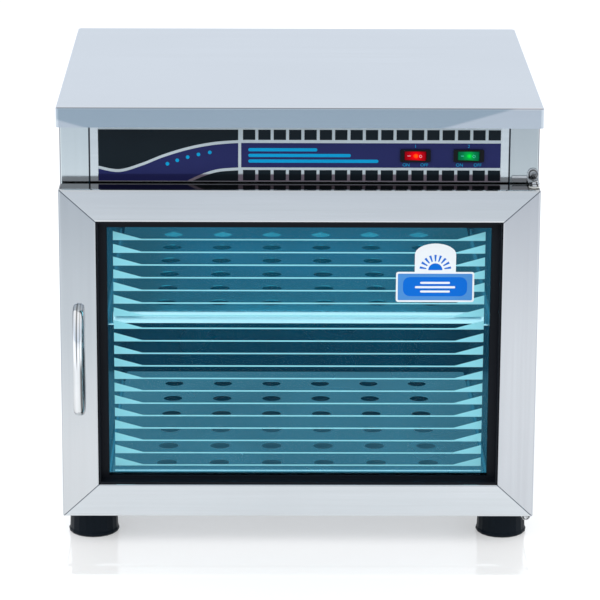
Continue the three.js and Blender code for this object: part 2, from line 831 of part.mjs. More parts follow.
// Door switch: a body under the ceiling with a plunger that the closed door holds in
function addDoorSwitch(group, plungerGroup) {
  const place = chamberHalf - doorSwitchInset;
  const middle = linerTop - doorSwitchHeight / 2;
  const side = doorSwitchWidth / 2;
  const body = alongX(
    roundedRectangle(linerFront, linerFront + doorSwitchDepth, linerTop - doorSwitchHeight, linerTop, catchRound),
    place - side,
    place + side,
  );
  const bore = alongY(
    circle(place, middle, plungerRadius + plungerBoreClearance, 14),
    linerFront - overrun,
    linerFront + plungerBoreDepth,
  );
  piece(group, 'door_switch_body', cut(solid(body), bore), blackPlastic);
  const rod = turned([
    [0, 0],
    [plungerRadius, 0],
    [plungerRadius, plungerLength - plungerDome],
    [plungerRadius - plungerDome, plungerLength],
    [0, plungerLength],
  ], 14);
  const plunger = piece(plungerGroup, 'door_switch_plunger', rod, whitePlastic);
  plunger.rotation.x = Math.PI / 2;
  plunger.position.set(place, doorThickness + seatGap + plungerLength, middle);
}

// Magnet catch: a case with two pole plates that reach the closed door's back
function addCatch(group) {
  const front = doorThickness + seatGap;
  const place = catchInset - chamberHalf;
  const side = catchWidth / 2;
  const pole = poleWidth / 2;
  const middle = linerTop - catchHeight / 2;
  const caseFront = front + poleProud;
  const shell = alongX(
    roundedRectangle(caseFront, caseFront + catchDepth, linerTop - catchHeight, linerTop, catchRound),
    place - side,
    place + side,
  );
  const poles = [-1, 1].map((hand) => {
    const low = middle + (hand * poleSpacing) / 2 - poleThickness / 2;
    return alongZ(rectangle(place - pole, place + pole, front, caseFront + half), low, low + poleThickness);
  });
  piece(group, 'magnet_catch', joined(shell, ...poles), blackPlastic);
}

// Heights of a hinge's parts; end is 1 for the top hinge and -1 for the bottom one
function hingeLevels(end) {
  const doorEdge = end > 0 ? doorTop : doorBottom;
  const flangeNear = doorEdge + end * seatGap;
  const flangeFar = flangeNear + end * bushFlange;
  const legNear = flangeFar + end * bushClearance;
  return { doorEdge, flangeNear, flangeFar, legNear, legFar: legNear + end * bracketPlate };
}

function bracketScrewZ(end) {
  return end > 0 ? hingeLevels(end).legNear + bracketScrewRise : doorBottom + bracketScrewRise;
}

function bracketOutline(end) {
  const { legNear, legFar } = hingeLevels(end);
  const right = bodyHalf - seatGap;
  if (end > 0) {
    const earTop = legNear + bracketEarHeight;
    const ear = right - bracketEarWidth;
    const round = bracketEarWidth / 2;
    return [
      new THREE.Vector2(right - bracketPlateWidth, legNear),
      new THREE.Vector2(right, legNear),
      ...arcPoints(right - round, earTop - round, round, 0, Math.PI, 6),
      new THREE.Vector2(ear, legNear + bracketPlateHeight),
      new THREE.Vector2(right - bracketPlateWidth, legNear + bracketPlateHeight),
    ];
  }
  const round = bracketEarWidth / 2;
  return [
    new THREE.Vector2(right - bracketEarWidth, legFar),
    new THREE.Vector2(right, legFar),
    ...arcPoints(right - round, doorBottom + bracketEarHeight - round, round, 0, Math.PI, 6),
  ];
}

// Hinge: an angle bracket on the right post, its fixing screw, the pivot screw and the door's flanged bush
function addHinge(group, doorGroup, end, label) {
  const { flangeNear, flangeFar, legNear, legFar, doorEdge } = hingeLevels(end);
  const plateBack = bodyFront - seatGap;
  const plateFront = plateBack - bracketPlate;
  const legHalf = bracketLegWidth / 2;
  const legFront = arcPoints(pivotX, pivotY, legHalf, Math.PI, 2 * Math.PI, 8);
  const leg = [
    new THREE.Vector2(pivotX + legHalf, plateBack),
    new THREE.Vector2(pivotX - legHalf, plateBack),
    ...legFront,
  ];
  const [legLow, legHigh] = [Math.min(legNear, legFar), Math.max(legNear, legFar)];
  const bracket = joined(alongY(bracketOutline(end), plateFront, plateBack), alongZ(leg, legLow, legHigh));
  const pivotHole = alongZ(circle(pivotX, pivotY, pivotRadius + pivotClearance, 14), legLow - overrun, legHigh + overrun);
  const screwZ = bracketScrewZ(end);
  const sunk = [bracketSinkRadius, bracketSinkDepth, bracketScrewRadius, bracketScrewLength];
  const fixHole = end > 0
    ? alongY(
      circle(pivotX, screwZ, bracketScrewRadius + pivotClearance, 12),
      plateFront - overrun,
      plateBack + overrun,
    )
    : sunkScrew(...sunk, pivotClearance).rotateX(Math.PI / 2).translate(pivotX, plateFront, screwZ);
  piece(group, `${label}_hinge_bracket`, cut(bracket, pivotHole, fixHole), chromePlate);

  const fixing = end > 0
    ? screw(bracketScrewHead, bracketScrewHeadHeight, bracketScrewRadius, bracketScrewLength)
    : sunkScrew(...sunk);
  const bracketScrew = piece(group, `${label}_bracket_screw`, fixing, zincPlate);
  bracketScrew.rotation.x = Math.PI / 2;
  bracketScrew.position.set(pivotX, end > 0 ? plateFront - seatGap : plateFront, screwZ);

  const shank = Math.abs(legFar + end * seatGap - doorEdge) + pivotReach;
  const pivotScrew = piece(
    group,
    `${label}_pivot_screw`,
    screw(pivotHeadRadius, pivotHeadHeight, pivotRadius, shank),
    chromePlate,
  );
  if (end < 0) pivotScrew.rotation.x = Math.PI;
  pivotScrew.position.set(pivotX, pivotY, legFar + end * seatGap);

  const bore = pivotRadius + pivotClearance;
  const sleeve = bore + bushWall;
  const profile = [
    [bore, -bushDepth],
    [sleeve, -bushDepth],
    [sleeve, 0],
    [bushFlangeRadius, 0],
    [bushFlangeRadius, bushFlange],
    [bore, bushFlange],
    [bore, -bushDepth],
  ];
  const bush = piece(doorGroup, `${label}_hinge_bush`, turned(profile, 16), whitePlastic);
  if (end < 0) bush.rotation.x = Math.PI;
  bush.position.set(pivotX, pivotY, end > 0 ? flangeNear : flangeFar + bushFlange);
}

// Door frame: four folded channels mitred at the corners, rounded together at the outer edge
function doorMember(fold, mitre) {
  const rounded = roundedRectangle(-doorHalf, doorHalf, doorBottom, doorTop, doorCorner, 3);
  const through = [-overrun, doorThickness + overrun];
  return solid(fold).intersect(solid(alongY(mitre, ...through))).intersect(solid(alongY(rounded, ...through)));
}

function channelFold(outer, inner) {
  const step = Math.sign(inner - outer) * half;
  return [
    [outer + step, railDepth],
    [outer + step, half],
    [inner - step, half],
    [inner - step, railDepth],
  ];
}

function addDoorFrame(group) {
  const bushHole = (end) => {
    const hole = circle(pivotX, pivotY, pivotRadius + pivotClearance + bushWall + seatGap, 16);
    const edge = end > 0 ? doorTop : doorBottom;
    return alongZ(hole, edge - overrun, edge + overrun);
  };
  for (const [name, hand] of [['door_left_stile', -1], ['door_right_stile', 1]]) {
    const fold = alongZ(foldedStrip(channelFold(hand * doorHalf, hand * openingHalf)), doorBottom, doorTop);
    const mitre = [
      [hand * doorHalf, doorTop - mitreGap],
      [hand * openingHalf, openingTop - mitreGap],
      [hand * openingHalf, openingBottom + mitreGap],
      [hand * doorHalf, doorBottom + mitreGap],
    ].map(([x, z]) => new THREE.Vector2(x, z));
    let stile = doorMember(fold, mitre);
    if (hand < 0) {
      const holes = handleEnds().map((z) => circle(handleX, z, handleScrewRadius + seatGap, 12));
      stile = cut(stile, ...holes.map((hole) => alongY(hole, -overrun, overrun)));
    }
    piece(group, name, stile, mirrorSteel);
  }
  const ends = [
    ['door_top_rail', doorTop, openingTop, 1],
    ['door_bottom_rail', doorBottom, openingBottom, -1],
  ];
  for (const [name, outer, inner, end] of ends) {
    const fold = channelFold(outer, inner).map(([z, y]) => [y, z]);
    const bar = alongX(foldedStrip(fold), -doorHalf, doorHalf);
    const mitre = [
      [mitreGap - doorHalf, outer],
      [mitreGap - openingHalf, inner],
      [openingHalf - mitreGap, inner],
      [doorHalf - mitreGap, outer],
    ].map(([x, z]) => new THREE.Vector2(x, z));
    piece(group, name, cut(doorMember(bar, mitre), bushHole(end)), mirrorSteel);
  }
  const inset = seatGap;
  const window = rectangle(
    sideBorder - openingHalf,
    openingHalf - sideBorder,
    openingBottom + bottomBorder,
    openingTop - topBorder,
  );
  const backPlate = alongY(
    roundedRectangle(inset - doorHalf, doorHalf - inset, doorBottom + inset, doorTop - inset, doorCorner, 3),
    doorThickness - sheet,
    doorThickness,
    [window],
  );
  piece(group, 'door_back_frame', backPlate, mirrorSteel);
}

// Glazing: a black gasket that lines the opening and grips the glass, and the seal on the door's back
function addGlazing(group) {
  const side = openingHalf - seatGap;
  const low = openingBottom + seatGap;
  const high = openingTop - seatGap;
  const windowSide = openingHalf - sideBorder;
  const windowLow = openingBottom + bottomBorder;
  const windowHigh = openingTop - topBorder;
  const front = bend + half;
  const window = rectangle(-windowSide, windowSide, windowLow, windowHigh);
  const ring = alongY(rectangle(-side, side, low, high), front, railDepth, [window]);
  const recess = alongY(
    rectangle(gasketLining - side, side - gasketLining, low + gasketLining, high - gasketLining),
    front - overrun,
    glassSetback,
  );
  const grooveFront = glassSetback + gasketLip;
  const pane = {
    side: windowSide + gasketHold,
    low: windowLow - gasketHold / 2,
    high: windowHigh + gasketHold,
  };
  const groove = alongY(
    rectangle(-pane.side - seatGap, pane.side + seatGap, pane.low - seatGap, pane.high + seatGap),
    grooveFront,
    grooveFront + glassThickness + 2 * seatGap,
  );
  piece(group, 'glazing_gasket', cut(solid(ring), recess, groove), blackRubber);

  const glass = softBlock(
    rectangle(-pane.side, pane.side, pane.low, pane.high),
    0,
    glassThickness,
    glassBevel,
    [],
    1,
  ).rotateX(Math.PI / 2).translate(0, grooveFront + seatGap + glassThickness, 0);
  piece(group, 'door_glass', glass, tintedGlass);

  const sealSide = doorHalf - sealSideInset;
  const sealOuter = rectangle(-sealSide, sealSide, doorBottom + sealEndInset, doorTop - sealEndInset);
  const sealInner = rectangle(
    sealWidth - sealSide,
    sealSide - sealWidth,
    doorBottom + sealEndInset + sealWidth,
    doorTop - sealEndInset - sealWidth,
  );
  const sealDepth = doorGap - 2 * seatGap;
  const seal = softBlock(sealOuter, 0, sealDepth, sealRound, [sealInner], 1);
  piece(group, 'door_seal', seal.rotateX(Math.PI / 2).translate(0, doorThickness + seatGap + sealDepth, 0), blackRubber);
}

function handleEnds() {
  const top = doorTop - handleTopDrop;
  return [top, top - handleSpan];
}

// Handle: a plated bow that waists in the middle, held by two screws from inside the stile
function addHandle(group) {
  const [top, low] = handleEnds();
  const middle = (top + low) / 2;
  const rise = handleSpan / 2;
  const grip = handleSection / 2 - handleReach;
  const shoulder = grip + handleSection / 2;
  const route = new THREE.CurvePath();
  const at = (y, z) => new THREE.Vector3(0, y, z);
  const bow = [at(grip, rise - handleShoulder * 2), at(grip, handleShoulder * 2 - rise)];
  route.add(new THREE.QuadraticBezierCurve3(at(-seatGap, rise), at(shoulder, rise), bow[0]));
  route.add(new THREE.LineCurve3(...bow));
  route.add(new THREE.QuadraticBezierCurve3(bow[1], at(shoulder, -rise), at(-seatGap, -rise)));
  const section = arcPoints(0, 0, 1, 0, 2 * Math.PI, 12).slice(0, 12).map((p) => {
    return new THREE.Vector2((p.x * handleWaist) / 2, (p.y * handleSection) / 2);
  });
  const bar = new THREE.ExtrudeGeometry(shapeOf(section), { steps: 36, extrudePath: route });
  const points = bar.attributes.position;
  for (let i = 0; i < points.count; i += 1) {
    const share = Math.min(1, Math.abs(points.getZ(i)) / rise);
    points.setX(i, points.getX(i) * (1 + (handleEndWidth / handleWaist - 1) * share * share));
  }
  const sockets = [rise, -rise].map((z) => {
    return alongY(circle(0, z, handleScrewRadius + seatGap, 10), -handleScrewDepth - seatGap, overrun);
  });
  const handle = piece(group, 'door_handle', cut(solid(bar), ...sockets), chromePlate);
  handle.position.set(handleX, 0, middle);

  const labels = ['upper_handle_screw', 'lower_handle_screw'];
  handleEnds().forEach((z, i) => {
    const form = screw(handleScrewHead, handleScrewHeadHeight, handleScrewRadius, handleScrewDepth + sheet + seatGap);
    const fixing = piece(group, labels[i], form, zincPlate);
    fixing.rotation.x = -Math.PI / 2;
    fixing.position.set(handleX, sheet + seatGap, z);
  });
}

function footPlaces() {
  const side = bodyHalf - footInset;
  const front = footFrontSetback;
  const rear = bodyBack - footRearSetback;
  return [
    ['front_left', -side, front],
    ['front_right', side, front],
    ['rear_left', -side, rear],
    ['rear_right', side, rear],
  ];
}

// Foot: a faceted rubber cup with a rim, held by a bolt and nut through the bottom panel
function addFoot(group, [label, x, y]) {
  const bore = boltRadius + boltClearance;
  const profile = [
    [bore, footRecessDepth],
    [footRecessRadius, footRecessDepth],
    [footRecessRadius, 0],
    [footRimRadius - footRimRound, 0],
    [footRimRadius, footRimRound],
    [footRimRadius, footRimHeight - footRimRound],
    [footBodyRadius, footRimHeight],
    [footTopRadius, footHeight - footRimRound],
    [footTopRadius - footRimRound, footHeight],
    [bore, footHeight],
    [bore, footRecessDepth],
  ];
  piece(group, `${label}_foot`, turned(profile, 20), blackRubber).position.set(x, y, 0);

  const shankTop = bodyBottom + sheet + seatGap + nutHeight + boltTail;
  const nutLow = bodyBottom + sheet + seatGap;
  const headTop = footRecessDepth - seatGap;
  const shank = turned([
    [0, headTop - boltHeadHeight],
    [boltHeadRadius - half, headTop - boltHeadHeight],
    [boltHeadRadius, headTop - boltHeadHeight / 2],
    [boltHeadRadius, headTop],
    [boltRadius, headTop],
    [boltRadius, shankTop - half],
    [boltRadius - half, shankTop],
    [0, shankTop],
  ], 12);
  const nut = alongZ(circle(0, 0, nutRadius, 6), nutLow, nutLow + nutHeight);
  piece(group, `${label}_foot_bolt`, joined(shank, nut), zincPlate).position.set(x, y, 0);
}

// The whole cabinet, centred on its own footprint
const sterilizer = new THREE.Group();
const cabinet = new THREE.Group();
const chamber = new THREE.Group();
const header = new THREE.Group();
const door = new THREE.Group();
sterilizer.add(cabinet, chamber, header, door);

addLid(cabinet);
addSidePanel(cabinet, 'left_side_panel', -1);
addSidePanel(cabinet, 'right_side_panel', 1);
addBackPanel(cabinet);
addBottomPanel(cabinet);
addGland(cabinet);
footPlaces().forEach((place) => addFoot(cabinet, place));

addChamber(chamber);
const shelves = [
  ['upper', ceilingUnder - upperShelfDrop, upperFirstRow],
  ['lower', bodyBottom + lowerShelfRise, lowerFirstRow],
];
for (const [label, level, firstRow] of shelves) {
  addRail(chamber, `left_${label}_rail`, -1, level);
  addRail(chamber, `right_${label}_rail`, 1, level);
  addShelf(chamber, `${label}_shelf`, level, firstRow);
}
addLampGear(chamber, chamber);
addDoorSwitch(chamber, chamber);
addCatch(chamber);

addFascia(header);
switchPlaces().forEach((place) => addSwitch(header, header, place));
addElectrics(header);

addDoorFrame(door);
addGlazing(door);
addHandle(door);
addHinge(cabinet, door, 1, 'top');
addHinge(cabinet, door, -1, 'bottom');

const rearReach = bodyBack + glandProud;
sterilizer.position.y = (handleReach - rearReach) / 2;

export default sterilizer;
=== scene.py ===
import math

import bmesh
import bpy
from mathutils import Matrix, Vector


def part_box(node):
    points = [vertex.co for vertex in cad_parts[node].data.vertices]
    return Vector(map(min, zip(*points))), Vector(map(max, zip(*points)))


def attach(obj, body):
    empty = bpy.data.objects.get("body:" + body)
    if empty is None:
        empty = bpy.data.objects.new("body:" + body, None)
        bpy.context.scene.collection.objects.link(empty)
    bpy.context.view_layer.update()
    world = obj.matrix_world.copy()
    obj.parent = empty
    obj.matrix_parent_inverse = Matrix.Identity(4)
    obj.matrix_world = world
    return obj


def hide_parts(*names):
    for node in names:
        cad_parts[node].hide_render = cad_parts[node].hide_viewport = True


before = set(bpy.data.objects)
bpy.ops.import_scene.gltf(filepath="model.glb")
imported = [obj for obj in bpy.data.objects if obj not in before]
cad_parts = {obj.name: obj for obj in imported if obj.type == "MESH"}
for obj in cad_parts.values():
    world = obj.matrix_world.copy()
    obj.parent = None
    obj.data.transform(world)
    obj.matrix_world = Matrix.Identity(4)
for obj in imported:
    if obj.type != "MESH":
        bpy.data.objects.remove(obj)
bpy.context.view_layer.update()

mm = 0.001


# Helpers for nodes: every material is built with them

def feed(tree, node, inputs):
    # each input takes a value or the output of another node
    for label, value in inputs.items():
        if isinstance(value, bpy.types.NodeSocket):
            tree.links.new(value, node.inputs[label])
        else:
            node.inputs[label].default_value = value


def addNode(tree, kind, inputs, **settings):
    node = tree.nodes.new("ShaderNode" + kind)
    for label, value in settings.items():
        setattr(node, label, value)
    feed(tree, node, inputs)
    return node


def objectPlace(tree):
    return tree.nodes.new("ShaderNodeTexCoord").outputs["Object"]


def alongAxis(tree, axis):
    return addNode(tree, "SeparateXYZ", {0: objectPlace(tree)}).outputs[axis]


def doMath(tree, operation, *values):
    return addNode(tree, "Math", dict(enumerate(values)), operation=operation).outputs[0]


def spreadOut(tree, value, start, end, low=0, high=1, kind="SMOOTHSTEP"):
    # low at start, high at end
    inputs = {"Value": value, "From Min": start, "From Max": end, "To Min": low, "To Max": high}
    return addNode(tree, "MapRange", inputs, interpolation_type=kind).outputs["Result"]


def axisMask(tree, axis, start, end):
    # 0 on one side of start, 1 past end, along one axis of the piece
    return spreadOut(tree, alongAxis(tree, axis), start, end)


def mixColours(tree, share, first, second, blend="MIX"):
    inputs = {0: share}
    for socket, colour in ((6, first), (7, second)):
        inputs[socket] = (*colour, 1) if isinstance(colour, tuple) else colour
    return addNode(tree, "Mix", inputs, data_type="RGBA", blend_type=blend).outputs[2]


def colourRamp(tree, value, stops):
    ramp = addNode(tree, "ValToRGB", {"Fac": value})
    bands = ramp.color_ramp.elements
    for place, colour in stops[1:-1]:
        bands.new(place)
    for band, (place, colour) in zip(bands, stops):
        band.position = place
        band.color = (*colour, 1)
    return ramp.outputs["Color"]


def mottle(tree, share, colour, spread):
    # from a shade darker to a shade lighter than the colour
    tones = [tuple(min(1, part * tone) for part in colour) for tone in (1 - spread, 1 + spread)]
    return mixColours(tree, share, *tones)


def addBump(tree, shader, height, strength, distance):
    bump = addNode(tree, "Bump", {"Strength": strength, "Distance": distance, "Height": height})
    tree.links.new(bump.outputs["Normal"], shader.inputs["Normal"])


# Shared effects: each is one node group, built once

effects = {
    "grain": {"Detail": 5, "Roughness": 0.65},
    "cloud": {"Detail": 3, "Distortion": 0.8},
    "cloudRange": (0.3, 0.7),
    "skin": {"Scale": 14, "Detail": 4},
}


def newGroup(name, inputs, outputs):
    group = bpy.data.node_groups.new(name, "ShaderNodeTree")
    for way, sockets in (("INPUT", inputs), ("OUTPUT", outputs)):
        for label, kind in sockets.items():
            group.interface.new_socket(label, in_out=way, socket_type="NodeSocket" + kind)
    return group, group.nodes.new("NodeGroupInput").outputs, group.nodes.new("NodeGroupOutput")


def placeGroup(tree, group, **values):
    node = tree.nodes.new("ShaderNodeGroup")
    node.node_tree = group
    feed(tree, node, values)
    return node.outputs


def makeRollingGrain():
    # fine lines that the mill leaves along the sheet, from noise stretched along one way
    group, entry, leave = newGroup("rollingGrain", {"Stretch": "Vector", "Scale": "Float"},
                                   {"Tone": "Float", "Height": "Float"})
    inputs = {0: objectPlace(group), 1: entry["Stretch"]}
    stretched = addNode(group, "VectorMath", inputs, operation="MULTIPLY").outputs[0]
    noise = {"Vector": stretched, "Scale": entry["Scale"], **effects["grain"]}
    lines = addNode(group, "TexNoise", noise).outputs["Fac"]
    feed(group, leave, {"Tone": lines, "Height": lines})
    return group


def makeWipeMarks():
    # broad cloudy patches left by a cloth
    group, entry, leave = newGroup("wipeMarks", {"Scale": "Float", "Low": "Float", "High": "Float"},
                                   {"Value": "Float", "Tone": "Float"})
    noise = {"Vector": objectPlace(group), "Scale": entry["Scale"], **effects["cloud"]}
    cloud = addNode(group, "TexNoise", noise).outputs["Fac"]
    value = spreadOut(group, cloud, *effects["cloudRange"], entry["Low"], entry["High"], "LINEAR")
    feed(group, leave, {"Value": value, "Tone": cloud})
    return group


def makeMouldSpeckle():
    # the fine pebbled skin of moulded rubber and plastic
    group, entry, leave = newGroup("mouldSpeckle", {"Scale": "Float"}, {"Tone": "Float", "Height": "Float"})
    place = objectPlace(group)
    pebble = addNode(group, "TexVoronoi", {"Vector": place, "Scale": entry["Scale"]})
    cloud = addNode(group, "TexNoise", {"Vector": place, **effects["skin"]})
    feed(group, leave, {"Tone": cloud.outputs["Fac"], "Height": pebble.outputs["Distance"]})
    return group


rollingGrain = makeRollingGrain()
wipeMarks = makeWipeMarks()
mouldSpeckle = makeMouldSpeckle()


# Steel sheet

toneRange = (0.12, 0.42)  # how far the grain and the wipe marks spread the colour
grainDepth = 0.2 * mm
levelGrain = (3, 3, 220)  # lines from side to side
lidGrain = (3, 160, 160)
uprightGrain = (220, 3, 3)  # lines up and down
panelGrain = (160, 160, 3)


def newMaterial(name):
    material = bpy.data.materials.new(name)
    material.use_nodes = True
    return material, material.node_tree, material.node_tree.nodes["Principled BSDF"]


def newFinish(name, wipe, rough):
    # every finish carries the wipe marks of a cloth in its roughness
    material, tree, shader = newMaterial(name)
    wipes = placeGroup(tree, wipeMarks, Scale=wipe, Low=rough[0], High=rough[1])
    feed(tree, shader, {"Roughness": wipes["Value"]})
    return material, tree, shader, wipes["Tone"]


def makeMetal(name, colour, rough, stretch=levelGrain, wipe=5, spread=0.05, bump=0.04):
    material, tree, shader, wipes = newFinish(name, wipe, rough)
    lines = placeGroup(tree, rollingGrain, Stretch=stretch, Scale=1)
    share = spreadOut(tree, bothMasks(tree, lines["Tone"], wipes), *toneRange, kind="LINEAR")
    feed(tree, shader, {"Base Color": mottle(tree, share, colour, spread), "Metallic": 1})
    addBump(tree, shader, lines["Height"], bump, grainDepth)
    return material


def layOver(material, mask, colour, blend="MIX"):
    # a second colour over the first one, as far as the mask allows
    tree = material.node_tree
    base = tree.nodes["Principled BSDF"].inputs["Base Color"]
    tree.links.new(mixColours(tree, mask, base.links[0].from_socket, colour, blend), base)


def bothMasks(tree, first, second):
    return doMath(tree, "MULTIPLY", first, second)


lidTone = {
    "colour": (0.74, 0.78, 0.83),
    "rough": (0.10, 0.17),
    "spread": 0.022,
    "lipReflection": (0.42, 0.51, 0.58),
    "lipShift": 36 * mm,
    "lipSlope": -3.5,
    "lipEnds": (186 * mm, 174 * mm),
    "lipLeast": 0.3,
    "lipDepth": (1.5 * mm, 0.4 * mm),
    "side": (0.72, 0.74, 0.76),
    "sideDrop": (0.8 * mm, 1.4 * mm),
    "sideDepth": (1.5 * mm, 3.0 * mm),
    "fold": (0.62, 0.56, 0.58),
    "foldLow": (1.6 * mm, 1.1 * mm),
    "foldHigh": (0.3 * mm, 0.7 * mm),
    "foldDepth": (2.4 * mm, 1.8 * mm),
}


def makeLidSteel(look):
    material = makeMetal("lidSteel", look["colour"], look["rough"], lidGrain, wipe=3, spread=look["spread"])
    tree = material.node_tree
    low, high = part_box("top_lid")

    def behind(depths):
        return axisMask(tree, "Y", low.y + depths[0], low.y + depths[1])

    def below(drops):
        return axisMask(tree, "Z", high.z - drops[0], high.z - drops[1])

    # painted reflection: the front lip is painted with the darker floor it mirrors, up to a slanted soft edge
    # near each end
    side = doMath(tree, "ABSOLUTE", doMath(tree, "ADD", alongAxis(tree, "X"), look["lipShift"]))
    rise = doMath(tree, "SUBTRACT", alongAxis(tree, "Z"), low.z)
    slant = doMath(tree, "MULTIPLY_ADD", rise, look["lipSlope"], side)
    ends = spreadOut(tree, slant, *look["lipEnds"], look["lipLeast"])
    layOver(material, bothMasks(tree, ends, behind(look["lipDepth"])), look["lipReflection"])
    # painted shade: the other lips are painted a shade darker, and a thin dark line of painted reflection
    # runs along the fold over the front one
    lips = bothMasks(tree, below(look["sideDrop"]), behind(look["sideDepth"]))
    layOver(material, lips, look["side"], "MULTIPLY")
    band = bothMasks(tree, below(look["foldLow"]), below(look["foldHigh"]))
    layOver(material, bothMasks(tree, band, behind(look["foldDepth"])), look["fold"], "MULTIPLY")
    return material


doorTone = {
    "rough": (0.06, 0.12),
    # painted reflection: the left bar is painted darker going up between these heights
    "rise": (100 * mm, 250 * mm),  # the left bar darkens between these heights
    "seam": (0.42, 0.45, 0.49),
    "seamSlope": 0.9176,
    "seamOffset": 48.9 * mm,
    "seamMiddle": 206.85 * mm,
    "seamReach": (1.0 * mm, 0.4 * mm),
    "rim": (0.62, 0.66, 0.71),
    "top": (0.05, 0.045, 0.05),
    "topHeight": (380.8 * mm, 381.2 * mm),
    "topDepth": (-190.5 * mm, -188.5 * mm),
    "edge": (0.16, 0.17, 0.19),
    "edgeFacing": (0.88, 0.98),
}

# painted reflection: the bars are one steel, the left and right bars each painted their own tone of the room
# they mirror
doorBars = {
    "doorSteel": {"colour": (0.60, 0.63, 0.655), "stretch": levelGrain},
    "leftBarSteel": {
        "colour": (0.585, 0.605, 0.625),
        "stretch": uprightGrain,
        "high": (0.81, 0.84, 0.86),
        "rim": (-242.4 * mm, -243.1 * mm),
    },
    "rightBarSteel": {"colour": (0.54, 0.56, 0.59), "stretch": uprightGrain, "rim": (242.4 * mm, 243.1 * mm)},
}


def mitreMask(tree, look):
    # near the slanted seams where the four bars of the door meet
    across = doMath(tree, "ABSOLUTE", alongAxis(tree, "X"))
    height = doMath(tree, "ABSOLUTE", doMath(tree, "SUBTRACT", alongAxis(tree, "Z"), look["seamMiddle"]))
    apart = doMath(tree, "SUBTRACT", doMath(tree, "MULTIPLY", across, look["seamSlope"]), height)
    away = doMath(tree, "ABSOLUTE", doMath(tree, "SUBTRACT", apart, look["seamOffset"]))
    return spreadOut(tree, away, *look["seamReach"])


def makeDoorSteel(name, colour, stretch, high=None, rim=None):
    material = makeMetal(name, colour, doorTone["rough"], stretch, wipe=4)
    tree = material.node_tree
    # painted reflection: a darker tone painted over the upper part of the bar
    if high:
        layOver(material, axisMask(tree, "Z", *doorTone["rise"]), high, "MULTIPLY")
    layOver(material, mitreMask(tree, doorTone), doorTone["seam"], "MULTIPLY")  # dirt gathers in the seams
    # painted reflection: the folded outer edge is painted darker, as it mirrors the dark of the room
    if rim:  # the folded outer edge
        layOver(material, axisMask(tree, "X", *rim), doorTone["rim"], "MULTIPLY")
    # painted shade: the top face stays in the shade of the lid and is painted nearly black
    top = axisMask(tree, "Z", *doorTone["topHeight"])
    layOver(material, bothMasks(tree, top, axisMask(tree, "Y", *doorTone["topDepth"])), doorTone["top"])
    # painted reflection: sheet seen nearly edge-on is painted dark, as it mirrors the dark of the room
    facing = tree.nodes.new("ShaderNodeLayerWeight").outputs["Facing"]
    layOver(material, spreadOut(tree, facing, *doorTone["edgeFacing"], kind="LINEAR"), doorTone["edge"])
    return material


panelTone = {
    "rough": (0.08, 0.16),
    "plane": 243.5 * mm,
    "sideInset": (1.2 * mm, 0.6 * mm),
    "cornerInset": (1.4 * mm, 1.0 * mm),
    "cornerDepth": (1.6 * mm, 1.0 * mm),
    "corner": (0.40, 0.38, 0.42),
}

# painted shade: both panels are one steel, each painted its own tone of the light that falls on its side
panels = {
    "leftPanelSteel": {"colour": (0.69, 0.755, 0.77), "side": (0.76, 0.75, 0.77)},
    "rightPanelSteel": {"colour": (0.56, 0.615, 0.63), "side": (0.94, 0.92, 0.94)},
}


def makePanelSteel(name, colour, side):
    material = makeMetal(name, colour, panelTone["rough"], panelGrain, wipe=3)
    tree = material.node_tree
    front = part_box("right_side_panel")[0].y
    away = doMath(tree, "ABSOLUTE", alongAxis(tree, "X"))

    def outside(insets):
        return spreadOut(tree, away, panelTone["plane"] - insets[0], panelTone["plane"] - insets[1])

    # painted shade: the posts mirror the floor in front, the broad sides are painted a shade darker
    layOver(material, outside(panelTone["sideInset"]), side, "MULTIPLY")
    # painted reflection: the rounded outer corner of the post is painted dark, as it mirrors the dark of the
    # room
    start, end = panelTone["cornerDepth"]
    corner = outside(panelTone["cornerInset"])
    ahead = axisMask(tree, "Y", front + start, front + end)
    layOver(material, bothMasks(tree, corner, ahead), panelTone["corner"], "MULTIPLY")
    return material


headerTone = {
    "colour": (0.70, 0.75, 0.77),
    "rough": (0.06, 0.12),
    "dark": (0.05, 0.05, 0.06),
    "shadeBand": (384.5 * mm, 379.5 * mm),
    "seamInset": (1.1 * mm, 0.7 * mm),
}


def makeHeaderSteel(look):
    # bright sheet with a line of painted shade along its lower edge, and dark seams at its two ends
    material = makeMetal("headerSteel", look["colour"], look["rough"])
    tree = material.node_tree
    low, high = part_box("control_fascia")
    start, end = look["seamInset"]
    for axis, reach in (("Z", look["shadeBand"]), ("X", (low.x + start, low.x + end)),
                        ("X", (high.x - start, high.x - end))):
        layOver(material, axisMask(tree, axis, *reach), look["dark"])
    return material


shelfFront = (-155.5 * mm, -151.5 * mm)

# painted light: both trays are one steel, painted in their own tones of the lamp's light, the lower one
# lighter
shelves = {
    "shelfSteel": {"colour": (0.66, 0.84, 0.88), "rough": (0.16, 0.26), "inner": (0.02, 0.22, 0.30)},
    "lowTraySteel": {"colour": (0.60, 0.80, 0.84), "rough": (0.2, 0.3), "inner": (0.09, 0.34, 0.43)},
}


def makeShelfSteel(name, colour, rough, inner):
    # painted light and shade: the lip is painted pale as it catches the light of the room, the tray behind it
    # painted dark teal as it stays in the dark chamber
    material = makeMetal(name, colour, rough, lidGrain, wipe=6)
    layOver(material, axisMask(material.node_tree, "Y", *shelfFront), inner)
    return material


paintedBounceGlow = {
    "scale": 2.5,
    "spread": 0.45,
    "colours": {
        "chamberSteel": (0.0035, 0.020, 0.032),
        "shelfSteel": (0.020, 0.096, 0.140),
        "lowTraySteel": (0.045, 0.15, 0.205),
    },
}


